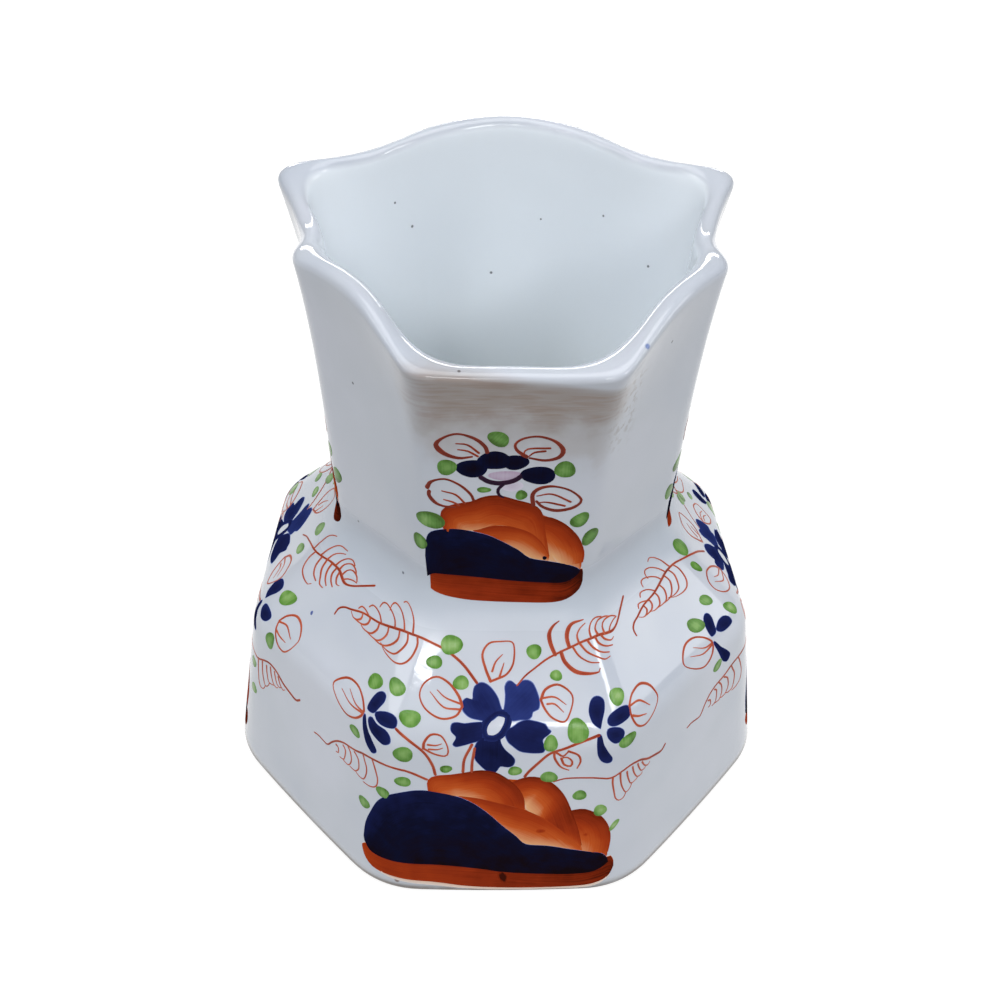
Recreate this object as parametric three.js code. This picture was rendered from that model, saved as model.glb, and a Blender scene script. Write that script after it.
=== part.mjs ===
// Eight-sided pouring jug in moulded, glazed earthenware.
// A splayed body with a sloping shoulder carries an upright panelled neck, which flares into a
// waved rim: low at the pouring lip, pointed at the sides and highest at the back.
// Millimetres, +Z up. The origin is on the axis, in the plane of the foot.
// The lip points to -Y and the handle to +Y.

import * as THREE from 'three';
import { mergeVertices } from 'three/addons/utils/BufferGeometryUtils.js';

// Body: widths are taken across opposite flat panels
const FOOT_WIDTH = 133;
const SHOULDER_WIDTH = 114.6;
const SHOULDER_HEIGHT = 44.4;
const NECK_WIDTH = 74.4;
const NECK_FOOT_HEIGHT = 63.3;
const THROAT_HEIGHT = 70;
const BODY_THICKNESS = 3.6;
const FOOT_HEIGHT = 4;
const FLOOR_THICKNESS = 4;

// Softness of the form: how far each rounding reaches to either side of its edge
const SHOULDER_ROUNDING = 4;
const THROAT_ROUNDING = 6;
const FOOT_ARRIS_ROUNDING = 8.7;
const ARRIS_ROUNDING = 5;
const FOOT_PANEL_BULGE = 0.7;

// Foot ring and its standing edge
const FOOT_RING_WIDTH = 8;
const FOOT_EDGE_CHAMFER = 1;
const FOOT_INNER_DRAFT = 2;

// Neck and rim. Reach runs from the axis out to an arris, and flare is how late the neck spreads
// to it: 1 would be evenly all the way up, and more is only near the rim.
const NECK_THICKNESS = 3.4;
const RIM_ARRIS = {
  right_horn: { reach: 52.2, height: 131.2, rounding: 4, thickness: 4.2, flare: 1.5 },
  right_crest: { reach: 39.5, height: 135.2, rounding: 7, thickness: 3.4, flare: 3.5 },
  left_crest: { reach: 39.5, height: 135.1, rounding: 7, thickness: 3.4, flare: 3.5 },
  left_horn: { reach: 53.8, height: 130.5, rounding: 6, thickness: 4.2, flare: 1.5 },
  left_cheek: { reach: 42.8, height: 127.9, rounding: 3, thickness: 4.5, flare: 3.5 },
  left_lip: { reach: 46.3, height: 120.2, rounding: 3, thickness: 4.9, flare: 3.5 },
  right_lip: { reach: 46.5, height: 120.2, rounding: 3, thickness: 4.9, flare: 3.5 },
  right_cheek: { reach: 42.4, height: 127.6, rounding: 3, thickness: 4.5, flare: 3.5 },
};
const RIM_PANEL = {
  right_back_side: { height: 132.5, hollow: 3.6 },
  back: { height: 136.7, hollow: 0.4 },
  left_back_side: { height: 132.1, hollow: 3.4 },
  left_side: { height: 126, hollow: 3.6 },
  left_front_side: { height: 127, hollow: 1.2 },
  front: { height: 119, hollow: 0.8 },
  right_front_side: { height: 126.4, hollow: 0.3 },
  right_side: { height: 126.2, hollow: 3.4 },
};

// Towards the rim the panels turn hollow, the wall thickens and its inner edges go softer
const HOLLOW_SHARPNESS = 1.7;
const THICKENING = 3;
const INNER_SOFTNESS = 8;
const LIP_RADIUS = 2.1;

// Handle: a flattened loop that springs level from the neck and lands square on the shoulder
const HANDLE_TOP_HEIGHT = 108;
const HANDLE_OUTER_HEIGHT = 93;
const HANDLE_OUTER_REACH = 62.2;
const HANDLE_LANDING = 0.48;
const HANDLE_SPRING = 13;
const HANDLE_BEND = 22;
const HANDLE_LANDING_BEND = 14;
const HANDLE_HALF_WIDTH = 5.6;
const HANDLE_HALF_DEPTH = 3.8;
const HANDLE_END_SPREAD = 0.28;
const HANDLE_END_LENGTH = 7;
const HANDLE_SQUARENESS = 0.8;

// Slip joint left between a handle end and the wall that it is luted to
const LUTING_GAP = 0.3;

// Fineness of the facets
const STEPS_PER_PANEL = 10;
const GATHER = 0.5;
const CURVE_STEPS = 4;
const LIP_STEPS = 3;
const NECK_ROWS = 11;
const HANDLE_STEPS = 30;
const HANDLE_AROUND = 16;

const SIDES = 8;
const HALF_PANEL_ANGLE = Math.PI / SIDES;
const ARRIS_TO_FLAT = Math.cos(HALF_PANEL_ANGLE);

// A rounding never quite meets the next one in the middle of a panel
const WIDEST_ROUNDING = 0.48;

// Arris k stands half a panel on from the +X axis, counted towards +Y; panel k follows arris k
const ARRISES = Object.values(RIM_ARRIS);
const PANELS = Object.values(RIM_PANEL);

const { lerp } = THREE.MathUtils;
const wrap = (k) => THREE.MathUtils.euclideanModulo(k, SIDES);

// Eight-sided outline
// A level holds, for each arris, its reach and rounding, and for each panel, how hollow it is.

function arrisPoint(k, level) {
  const angle = HALF_PANEL_ANGLE * (1 + 2 * k);
  const reach = level.reach[wrap(k)];
  return new THREE.Vector2(reach * Math.cos(angle), reach * Math.sin(angle));
}

function panelPoint(k, share, level) {
  const from = arrisPoint(k, level);
  const to = arrisPoint(k + 1, level);
  const length = Math.max(from.distanceTo(to), Number.EPSILON);
  const inward = new THREE.Vector2(from.y - to.y, to.x - from.x).divideScalar(length);
  const hollow = level.hollow[wrap(k)] * (1 - (2 * share - 1) ** 2);
  return from.lerp(to, share).addScaledVector(inward, hollow);
}

// Whole turns are arrises, rounded by a curve that runs from panel to panel
function outlinePoint(turn, level) {
  const k = Math.round(turn);
  const corner = arrisPoint(k, level);
  const rounding = level.rounding[wrap(k)];
  const before = Math.min(WIDEST_ROUNDING, rounding / corner.distanceTo(arrisPoint(k - 1, level)));
  const after = Math.min(WIDEST_ROUNDING, rounding / corner.distanceTo(arrisPoint(k + 1, level)));
  const offset = turn - k;
  if (offset <= -before) return panelPoint(k - 1, 1 + offset, level);
  if (offset >= after) return panelPoint(k, offset, level);
  const arc = new THREE.QuadraticBezierCurve(
    panelPoint(k - 1, 1 - before, level),
    corner,
    panelPoint(k, after, level),
  );
  return arc.getPoint((offset + before) / (before + after));
}

// Forms a closed profile round the axis, and then presses every ring of points to eight sides:
// place gives a point from the profile's own point and the turn, 0 to 8. Points gather at arrises.
function pressed(profile, place) {
  const rings = SIDES * STEPS_PER_PANEL;
  const geometry = new THREE.LatheGeometry(profile, rings);
  geometry.deleteAttribute('normal');
  geometry.deleteAttribute('uv');
  const position = geometry.attributes.position;
  for (let i = 0; i < position.count; i += 1) {
    const ring = Math.floor(i / profile.length) % rings;
    const even = ring / STEPS_PER_PANEL;
    const turn = even - (GATHER * Math.sin(2 * Math.PI * even)) / (2 * Math.PI);
    const point = place(profile[i % profile.length], turn);
    position.setXYZ(i, point.x, point.y, point.z);
  }
  return finished(geometry);
}

function finished(geometry) {
  const merged = mergeVertices(geometry);
  merged.computeVertexNormals();
  return merged;
}

// Body

function bodyPoint(profilePoint, turn) {
  const rise = Math.min(profilePoint.y / SHOULDER_HEIGHT, 1);
  const reach = profilePoint.x / ARRIS_TO_FLAT;
  const onAxis = profilePoint.x === 0;
  const level = {
    reach: Array(SIDES).fill(reach),
    rounding: Array(SIDES).fill(lerp(FOOT_ARRIS_ROUNDING, ARRIS_ROUNDING, rise)),
    hollow: Array(SIDES).fill(-FOOT_PANEL_BULGE * (1 - rise)),
  };
  const plan = onAxis ? new THREE.Vector2() : outlinePoint(turn, level);
  return new THREE.Vector3(plan.x, plan.y, profilePoint.y);
}

// The wall's outer corner points, from the foot up to the throat
const WALL = [
  new THREE.Vector2(FOOT_WIDTH / 2, 0),
  new THREE.Vector2(SHOULDER_WIDTH / 2, SHOULDER_HEIGHT),
  new THREE.Vector2(NECK_WIDTH / 2, NECK_FOOT_HEIGHT),
  new THREE.Vector2(NECK_WIDTH / 2, THROAT_HEIGHT),
];

function outwardNormal(from, to) {
  return new THREE.Vector2(to.y - from.y, from.x - to.x).normalize();
}

// The same corners moved square to the wall by its thickness
function insetCorner(i, thickness) {
  const before = outwardNormal(WALL[i - 1], WALL[i]);
  const after = outwardNormal(WALL[i], WALL[i + 1]);
  const miter = before.clone().add(after).normalize();
  return WALL[i].clone().addScaledVector(miter, -thickness / miter.dot(before));
}

function wallHalfWidth(height, thickness = 0) {
  const share = height / SHOULDER_HEIGHT;
  const normal = outwardNormal(WALL[0], WALL[1]);
  return lerp(FOOT_WIDTH, SHOULDER_WIDTH, share) / 2 - thickness / normal.x;
}

// Rounds the profile at a corner, reaching the given distance to either side of it
function roundCorner(path, before, corner, after, reach) {
  const start = corner.clone().add(before.clone().sub(corner).setLength(reach));
  const end = corner.clone().add(after.clone().sub(corner).setLength(reach));
  path.lineTo(start.x, start.y);
  path.quadraticCurveTo(corner.x, corner.y, end.x, end.y);
}

function bodyWallGeometry() {
  const foot = new THREE.Vector2(wallHalfWidth(FOOT_HEIGHT), FOOT_HEIGHT);
  const innerFoot = new THREE.Vector2(wallHalfWidth(FOOT_HEIGHT, BODY_THICKNESS), FOOT_HEIGHT);
  const innerShoulder = insetCorner(1, BODY_THICKNESS);
  const innerNeck = insetCorner(2, NECK_THICKNESS);
  const innerThroat = new THREE.Vector2(NECK_WIDTH / 2 - NECK_THICKNESS, THROAT_HEIGHT);
  const path = new THREE.Path();
  path.moveTo(foot.x, foot.y);
  roundCorner(path, foot, WALL[1], WALL[2], SHOULDER_ROUNDING);
  roundCorner(path, WALL[1], WALL[2], WALL[3], THROAT_ROUNDING);
  path.lineTo(WALL[3].x, WALL[3].y);
  path.lineTo(innerThroat.x, innerThroat.y);
  roundCorner(path, innerThroat, innerNeck, innerShoulder, THROAT_ROUNDING);
  roundCorner(path, innerNeck, innerShoulder, innerFoot, SHOULDER_ROUNDING);
  path.lineTo(innerFoot.x, innerFoot.y);
  path.closePath();
  return pressed(path.getPoints(CURVE_STEPS), bodyPoint);
}

function footRingGeometry() {
  const outer = FOOT_WIDTH / 2;
  const inner = outer - FOOT_RING_WIDTH;
  const profile = [
    new THREE.Vector2(outer - FOOT_EDGE_CHAMFER, 0),
    new THREE.Vector2(wallHalfWidth(FOOT_EDGE_CHAMFER), FOOT_EDGE_CHAMFER),
    new THREE.Vector2(wallHalfWidth(FOOT_HEIGHT), FOOT_HEIGHT),
    new THREE.Vector2(inner, FOOT_HEIGHT),
    new THREE.Vector2(inner + FOOT_INNER_DRAFT, 0),
  ];
  return pressed([...profile, profile[0]], bodyPoint);
}

function baseFloorGeometry() {
  const top = FOOT_HEIGHT + FLOOR_THICKNESS;
  const edge = (height) => wallHalfWidth(height, BODY_THICKNESS) - LUTING_GAP;
  const profile = [
    new THREE.Vector2(0, FOOT_HEIGHT),
    new THREE.Vector2(edge(FOOT_HEIGHT), FOOT_HEIGHT),
    new THREE.Vector2(edge(top), top),
    new THREE.Vector2(0, top),
  ];
  return pressed(profile, bodyPoint);
}

// Neck and waved rim

// Height of the rim round the jug: one smooth closed wave through every arris and panel middle
const rimWave = new THREE.CatmullRomCurve3(
  ARRISES.flatMap((arris, k) => [
    new THREE.Vector3(0, 0, arris.height),
    new THREE.Vector3(0, 0, PANELS[k].height),
  ]),
  true,
  'catmullrom',
);

function rimThickness(turn) {
  const k = Math.floor(turn);
  return lerp(ARRISES[wrap(k)].thickness, ARRISES[wrap(k + 1)].thickness, turn - k);
}

// Climb is 0 at the throat and 1 at the rim, and depth is 0 on the outside and 1 on the inside
function neckPoint(climb, depth, turn) {
  const throatReach = NECK_WIDTH / 2 / ARRIS_TO_FLAT;
  const inward = depth * lerp(NECK_THICKNESS, rimThickness(turn), climb ** THICKENING);
  const softer = INNER_SOFTNESS * depth * climb;
  const level = {
    reach: ARRISES.map(
      (arris) => lerp(throatReach, arris.reach, climb ** arris.flare) - inward / ARRIS_TO_FLAT,
    ),
    rounding: ARRISES.map((arris) => lerp(ARRIS_ROUNDING, arris.rounding, climb) + softer),
    hollow: PANELS.map((panel) => panel.hollow * climb ** HOLLOW_SHARPNESS),
  };
  const plan = outlinePoint(turn, level);
  const rim = rimWave.getPoint(turn / SIDES).z;
  return new THREE.Vector3(plan.x, plan.y, lerp(THROAT_HEIGHT, rim, climb));
}

// The wall's section is drawn at a middling height, 1 across on the outside and 0 on the inside,
// and each ring of it is stretched to the wall's thickness and the height of the rim there
function neckWallGeometry() {
  const nominalHeight = RIM_ARRIS.right_cheek.height - THROAT_HEIGHT;
  const lipStart = nominalHeight - LIP_RADIUS;
  const path = new THREE.Path();
  path.moveTo(1, 0);
  for (let row = 1; row <= NECK_ROWS; row += 1) {
    path.lineTo(1, (lipStart * row) / NECK_ROWS);
  }
  path.absellipse(0.5, lipStart, 0.5, LIP_RADIUS, 0, Math.PI, false, 0);
  for (let row = NECK_ROWS - 1; row >= 0; row -= 1) {
    path.lineTo(0, (lipStart * row) / NECK_ROWS);
  }
  path.closePath();
  return pressed(path.getPoints(LIP_STEPS), (point, turn) =>
    neckPoint(point.y / nominalHeight, 1 - point.x, turn),
  );
}

// Handle

function handlePath() {
  const backTurn = 1.5;
  const climb = (HANDLE_TOP_HEIGHT - THROAT_HEIGHT) / (RIM_PANEL.back.height - THROAT_HEIGHT);
  const neckFace = neckPoint(climb, 0, backTurn).y + LUTING_GAP;
  const normal = outwardNormal(WALL[1], WALL[2]);
  const landing = WALL[1].clone().lerp(WALL[2], HANDLE_LANDING).addScaledVector(normal, LUTING_GAP);
  const approach = landing.clone().addScaledVector(normal, HANDLE_LANDING_BEND);
  const path = new THREE.CurvePath();
  path.add(
    new THREE.CubicBezierCurve3(
      new THREE.Vector3(0, neckFace, HANDLE_TOP_HEIGHT),
      new THREE.Vector3(0, neckFace + HANDLE_SPRING, HANDLE_TOP_HEIGHT),
      new THREE.Vector3(0, HANDLE_OUTER_REACH, HANDLE_OUTER_HEIGHT + HANDLE_BEND),
      new THREE.Vector3(0, HANDLE_OUTER_REACH, HANDLE_OUTER_HEIGHT),
    ),
  );
  path.add(
    new THREE.CubicBezierCurve3(
      new THREE.Vector3(0, HANDLE_OUTER_REACH, HANDLE_OUTER_HEIGHT),
      new THREE.Vector3(0, HANDLE_OUTER_REACH, HANDLE_OUTER_HEIGHT - HANDLE_BEND),
      new THREE.Vector3(0, approach.x, approach.y),
      new THREE.Vector3(0, landing.x, landing.y),
    ),
  );
  return path;
}

// A straight closed rod bent along the path, squared a little and spread at both luted ends
function handleGeometry() {
  const path = handlePath();
  const length = path.getLength();
  const geometry = new THREE.CylinderGeometry(1, 1, 1, HANDLE_AROUND, HANDLE_STEPS);
  geometry.deleteAttribute('normal');
  geometry.deleteAttribute('uv');
  const position = geometry.attributes.position;
  const across = new THREE.Vector3(1, 0, 0);
  const square = (value) => Math.sign(value) * Math.abs(value) ** HANDLE_SQUARENESS;
  const local = new THREE.Vector3();
  for (let i = 0; i < position.count; i += 1) {
    local.fromBufferAttribute(position, i);
    const along = THREE.MathUtils.clamp(local.y + 0.5, 0, 1);
    const fromEnd = Math.min(along, 1 - along) * length;
    const spread = 1 + HANDLE_END_SPREAD * Math.exp(-((fromEnd / HANDLE_END_LENGTH) ** 2));
    const outward = new THREE.Vector3().crossVectors(across, path.getTangentAt(along));
    const point = path
      .getPointAt(along)
      .addScaledVector(across, square(local.x) * HANDLE_HALF_WIDTH * spread)
      .addScaledVector(outward, square(local.z) * HANDLE_HALF_DEPTH * spread);
    position.setXYZ(i, point.x, point.y, point.z);
  }
  return finished(geometry);
}

// Assembly

const glaze = { color: 0xe4e8ec, roughness: 0.12, metalness: 0 };
const pieces = [
  ['body_wall', bodyWallGeometry(), glaze],
  ['neck_wall', neckWallGeometry(), glaze],
  ['base_floor', baseFloorGeometry(), { color: 0xdce2e4, roughness: 0.15, metalness: 0 }],
  ['foot_ring', footRingGeometry(), { color: 0xd8d2c4, roughness: 0.7, metalness: 0 }],
  ['handle', handleGeometry(), glaze],
];

const jug = new THREE.Group();
for (const [name, geometry, finish] of pieces) {
  const mesh = new THREE.Mesh(geometry, new THREE.MeshStandardMaterial(finish));
  mesh.name = name;
  jug.add(mesh);
}

export default jug;
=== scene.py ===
# Octagonal pouring jug in moulded, glazed earthenware, hand painted under and over the glaze.
# Sizes are written in millimetres, as the maker's drawing has them, and turned to metres for meshes.
# +Z is up, the lip points to -Y and the handle to +Y.

import math

import bpy
import numpy as np
from mathutils import Matrix, Quaternion, Vector


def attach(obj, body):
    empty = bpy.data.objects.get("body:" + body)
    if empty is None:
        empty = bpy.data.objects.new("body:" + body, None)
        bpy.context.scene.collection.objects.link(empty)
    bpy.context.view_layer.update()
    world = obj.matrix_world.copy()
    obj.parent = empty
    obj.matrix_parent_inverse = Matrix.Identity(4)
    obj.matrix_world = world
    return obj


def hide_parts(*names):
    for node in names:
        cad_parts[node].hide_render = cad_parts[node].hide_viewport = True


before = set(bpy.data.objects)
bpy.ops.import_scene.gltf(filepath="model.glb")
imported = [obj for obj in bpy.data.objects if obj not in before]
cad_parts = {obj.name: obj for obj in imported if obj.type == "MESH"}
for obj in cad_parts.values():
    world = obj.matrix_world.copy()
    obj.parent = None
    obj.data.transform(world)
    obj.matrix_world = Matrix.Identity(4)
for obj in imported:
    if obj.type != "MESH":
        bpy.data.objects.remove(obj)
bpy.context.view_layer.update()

MM = 0.001
SIDES = 8
HALF_PANEL_ANGLE = math.pi / SIDES
ARRIS_TO_FLAT = math.cos(HALF_PANEL_ANGLE)

# Body: widths are taken across opposite flat panels
FOOT_WIDTH = 133.0
SHOULDER_WIDTH = 114.6
SHOULDER_HEIGHT = 44.4
NECK_WIDTH = 74.4
NECK_FOOT_HEIGHT = 63.3
THROAT_HEIGHT = 70.0
BODY_THICKNESS = 3.6
NECK_THICKNESS = 3.4

# Softness of the form: how far each rounding reaches to either side of its edge
SHOULDER_ROUNDING = 4.0
THROAT_ROUNDING = 6.0
FOOT_ARRIS_ROUNDING = 8.7
ARRIS_ROUNDING = 5.0
FOOT_PANEL_BULGE = 0.7

# Foot and floor
GLAZE_EDGE_HEIGHT = 1.1
FOOT_RING_WIDTH = 8.0
FOOT_HEIGHT = 4.0
FLOOR_TOP = 8.0
FLOOR_FILLET = 6.0

# Rim arrises, from the right horn round by the back: reach from the axis, height, rounding,
# thickness of the rim, and how late the neck flares out to it
RIGHT_HORN, LEFT_HORN = (52.2, 131.2, 4, 4.2, 1.5), (53.8, 130.5, 6, 4.2, 1.5)
RIGHT_CREST, LEFT_CREST = (39.5, 135.2, 7, 3.4, 3.5), (39.5, 135.1, 7, 3.4, 3.5)
LEFT_CHEEK, RIGHT_CHEEK = (42.8, 127.9, 3, 4.5, 3.5), (42.4, 127.6, 3, 4.5, 3.5)
LEFT_LIP, RIGHT_LIP = (46.3, 120.2, 3, 4.9, 3.5), (46.5, 120.2, 3, 4.9, 3.5)
ARRISES = np.array([
    RIGHT_HORN, RIGHT_CREST, LEFT_CREST, LEFT_HORN, LEFT_CHEEK, LEFT_LIP, RIGHT_LIP, RIGHT_CHEEK
], float)

# Rim panels, each after its arris: height at the middle and hollow
RIGHT_BACK_SIDE, BACK, LEFT_BACK_SIDE = (132.5, 3.6), (136.7, 0.4), (132.1, 3.4)
LEFT_SIDE, LEFT_FRONT_SIDE, FRONT = (126, 3.6), (127, 1.2), (119, 0.8)
RIGHT_FRONT_SIDE, RIGHT_SIDE = (126.4, 0.3), (126.2, 3.4)
PANELS = np.array([
    RIGHT_BACK_SIDE, BACK, LEFT_BACK_SIDE, LEFT_SIDE, LEFT_FRONT_SIDE, FRONT, RIGHT_FRONT_SIDE, RIGHT_SIDE
], float)
HOLLOW_SHARPNESS = 1.7
THICKENING = 3
LIP_RADIUS = 2.1
INNER_SOFTNESS = 8.0

# A rounding never quite meets the next one in the middle of a panel
WIDEST_ROUNDING = 0.48

# Handle: a flattened loop that springs level from the neck and lands square on the shoulder
HANDLE_TOP_HEIGHT = 108.0
HANDLE_OUTER_HEIGHT = 93.0
HANDLE_OUTER_REACH = 62.2
HANDLE_LANDING = 0.48
HANDLE_SPRING = 13.0
HANDLE_BEND = 22.0
HANDLE_LANDING_BEND = 14.0
HANDLE_HALF_WIDTH = 5.6
HANDLE_HALF_DEPTH = 3.8
HANDLE_SQUARENESS = 0.8

# A turn is 0 to 8 round the jug, whole at the arrises. The middles of the four painted panels:
FRONT_TURN, RIGHT_TURN, BACK_TURN, LEFT_TURN = 5.5, 7.5, 1.5, 3.5


# Form of the jug


def outline(turns, reach, rounding, hollow):
    """Points of an eight-sided outline, its arrises rounded and its panels a little hollow."""
    point = np.arange(len(turns))
    shape = (len(turns), SIDES)
    reach, rounding, hollow = (np.broadcast_to(values, shape) for values in (reach, rounding, hollow))

    def arris(k):
        angle = HALF_PANEL_ANGLE * (1 + 2 * k)
        distance = reach[point, k % SIDES]
        return np.stack([distance * np.cos(angle), distance * np.sin(angle)], -1)

    def panel(k, share):
        start, end = arris(k), arris(k + 1)
        along = end - start
        length = np.maximum(np.linalg.norm(along, axis=-1, keepdims=True), 1e-9)
        inward = np.stack([-along[..., 1], along[..., 0]], -1) / length
        dip = hollow[point, k % SIDES] * (1 - (2 * share - 1) ** 2)
        return start + along * share[..., None] + inward * dip[..., None]

    k = np.floor(turns + 0.5).astype(int)
    corner = arris(k)
    to_last, to_next = (np.linalg.norm(corner - arris(k + step), axis=-1) for step in (-1, 1))
    reach_back = np.minimum(WIDEST_ROUNDING, rounding[point, k % SIDES] / np.maximum(to_last, 1e-9))
    reach_on = np.minimum(WIDEST_ROUNDING, rounding[point, k % SIDES] / np.maximum(to_next, 1e-9))
    offset = turns - k
    share = ((offset + reach_back) / (reach_back + reach_on))[..., None]
    arc = (
        (1 - share) ** 2 * panel(k - 1, 1 - reach_back)
        + 2 * share * (1 - share) * corner
        + share**2 * panel(k, reach_on)
    )
    straight = np.where((offset < 0)[..., None], panel(k - 1, 1 + offset), panel(k, offset))
    on_arc = (offset > -reach_back) & (offset < reach_on)
    return np.where(on_arc[..., None], arc, straight)


def body_row(half_width, height, turns):
    """One ring of the body at a height, given its half width across the flats."""
    rise = min(height / SHOULDER_HEIGHT, 1)
    rounding = FOOT_ARRIS_ROUNDING + (ARRIS_ROUNDING - FOOT_ARRIS_ROUNDING) * rise
    bulge = FOOT_PANEL_BULGE * (1 - rise) * min(1, half_width / (FOOT_WIDTH / 4))
    plan = outline(turns, half_width / ARRIS_TO_FLAT, rounding, -bulge)
    return np.column_stack([plan, np.full(len(turns), height)])


def between(p0, p1, p2, p3, share):
    """A point between the middle two of four, on a smooth curve through them all."""
    return 0.5 * (
        2 * p1 + (p2 - p0) * share + (2 * p0 - 5 * p1 + 4 * p2 - p3) * share**2
        + (3 * p1 - p0 - 3 * p2 + p3) * share**3
    )


def rim_height(turns):
    """Height of the waved rim: one smooth closed wave through every arris and panel middle."""
    heights = np.column_stack([ARRISES[:, 1], PANELS[:, 0]]).ravel()
    place = (turns * 2) % len(heights)
    i = np.floor(place).astype(int)
    return between(*(heights[(i + step) % len(heights)] for step in (-1, 0, 1, 2)), place - i)


def rim_thickness(turns):
    """Thickness of the rim round the jug, even from arris to arris."""
    k = np.floor(turns).astype(int)
    share = turns - k
    return ARRISES[k % SIDES, 3] * (1 - share) + ARRISES[(k + 1) % SIDES, 3] * share


def neck_row(climb, depth, turns):
    """One ring of the neck. Climb is 0 at the throat and 1 at the rim, depth 0 outside and 1 inside."""
    climb = np.broadcast_to(np.asarray(climb, float), turns.shape)[:, None]
    thickness = NECK_THICKNESS + (rim_thickness(turns)[:, None] - NECK_THICKNESS) * climb**THICKENING
    throat_reach = NECK_WIDTH / 2 / ARRIS_TO_FLAT
    flare = climb ** ARRISES[:, 4]
    plan = outline(
        turns,
        throat_reach + (ARRISES[:, 0] - throat_reach) * flare - depth * thickness / ARRIS_TO_FLAT,
        ARRIS_ROUNDING + (ARRISES[:, 2] - ARRIS_ROUNDING) * climb + INNER_SOFTNESS * depth * climb,
        PANELS[:, 1] * climb**HOLLOW_SHARPNESS,
    )
    height = THROAT_HEIGHT + (rim_height(turns) - THROAT_HEIGHT) * climb[:, 0]
    return np.column_stack([plan, height])


def rounded(points, reaches, steps):
    """A polyline in half width and height with its inner corners rounded."""
    points = [np.array(point, float) for point in points]
    path = [points[0]]
    for before, corner, after, reach in zip(points, points[1:], points[2:], reaches):
        start, end = (
            corner + (point - corner) / np.linalg.norm(point - corner) * reach for point in (before, after)
        )
        for t in np.linspace(0, 1, steps + 1):
            path.append((1 - t) ** 2 * start + 2 * t * (1 - t) * corner + t**2 * end)
    return path + [points[-1]]


def filled(path, step):
    """The same polyline with points added, so that none are more than a step apart."""
    points = [path[0]]
    for point in path[1:]:
        count = max(1, math.ceil(np.linalg.norm(point - points[-1]) / step))
        start = points[-1]
        points += [start + (point - start) * (i + 1) / count for i in range(count)]
    return points


def wall_half_width(height):
    return (FOOT_WIDTH + (SHOULDER_WIDTH - FOOT_WIDTH) * height / SHOULDER_HEIGHT) / 2


def outward_normal(start, end):
    normal = np.array([end[1] - start[1], start[0] - end[0]])
    return normal / np.linalg.norm(normal)


WALL = [
    np.array([FOOT_WIDTH / 2, 0.0]),
    np.array([SHOULDER_WIDTH / 2, SHOULDER_HEIGHT]),
    np.array([NECK_WIDTH / 2, NECK_FOOT_HEIGHT]),
    np.array([NECK_WIDTH / 2, THROAT_HEIGHT]),
]


def inset_corner(i, thickness):
    """A corner of the outer wall moved square into the wall by its thickness."""
    before = outward_normal(WALL[i - 1], WALL[i])
    after = outward_normal(WALL[i], WALL[i + 1])
    miter = (before + after) / np.linalg.norm(before + after)
    return WALL[i] - miter * thickness / miter.dot(before)


def outer_profile(start_height):
    foot = [wall_half_width(start_height), start_height]
    return rounded([foot, WALL[1], WALL[2], WALL[3]], [SHOULDER_ROUNDING, THROAT_ROUNDING], 10)


# Round the jug, points gather at the arrises
STEPS_PER_PANEL = 24
GATHER = 0.5
even = np.arange(SIDES * STEPS_PER_PANEL) / STEPS_PER_PANEL
RING = even - GATHER * np.sin(2 * math.pi * even) / (2 * math.pi)


# Painted skin: a flat pattern in millimetres is laid on the outer wall. Across is measured round
# the wall from the middle of a panel, and up is measured along the wall from the foot.


SKIN_ROW_STEP = 0.8
SKIN_STEPS_PER_PANEL = 32


def lengths_along(route):
    """How far along a route each of its points is."""
    return np.concatenate([[0], np.cumsum(np.linalg.norm(np.diff(route, axis=0), axis=1))])


def skin_table():
    turns = np.linspace(0, SIDES, SIDES * SKIN_STEPS_PER_PANEL + 1)
    body = filled(outer_profile(0.0), SKIN_ROW_STEP)
    rows = [body_row(half_width, height, turns) for half_width, height in body]
    neck_heights = np.arange(THROAT_HEIGHT + SKIN_ROW_STEP, PANELS[:, 0].min() - 1, SKIN_ROW_STEP)
    rim = rim_height(turns)
    rows += [neck_row((height - THROAT_HEIGHT) / (rim - THROAT_HEIGHT), 0, turns) for height in neck_heights]
    ups = lengths_along(body)
    ups = np.concatenate([ups, ups[-1] + neck_heights - THROAT_HEIGHT])
    return turns, np.array(rows), ups, np.array([lengths_along(row[:, :2]) for row in rows])


TURNS, SKIN_ROWS, SKIN_UPS, SKIN_LENGTHS = skin_table()


def on_skin(centre_turn, across, up):
    """Points on the outer wall, from a panel's middle turn and millimetres across and up."""
    row = np.clip(np.searchsorted(SKIN_UPS, up, side="right") - 1, 0, len(SKIN_UPS) - 2)
    share = (up - SKIN_UPS[row]) / (SKIN_UPS[row + 1] - SKIN_UPS[row])
    points = np.zeros((len(across), 3))
    for r in np.unique(row):
        at = row == r
        for weight, level in ((1 - share[at], r), (share[at], r + 1)):
            lengths = SKIN_LENGTHS[level]
            place = (np.interp(centre_turn, TURNS, lengths) + across[at]) % lengths[-1]
            for axis in range(3):
                points[at, axis] += weight * np.interp(place, lengths, SKIN_ROWS[level, :, axis])
    return points


def laid(centre_turn, flat):
    """Flat points (across, up, proud) laid on the wall and lifted square to it."""
    flat = np.asarray(flat, float)
    across, up, proud = flat[:, 0], flat[:, 1], flat[:, 2]
    reach = 0.3
    base = on_skin(centre_turn, across, up)
    rightward = on_skin(centre_turn, across + reach, up) - on_skin(centre_turn, across - reach, up)
    upward = on_skin(centre_turn, across, up + reach) - on_skin(centre_turn, across, up - reach)
    normal = np.cross(rightward, upward)
    normal /= np.linalg.norm(normal, axis=1, keepdims=True)
    return base + normal * proud[:, None]


# Mesh making


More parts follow.
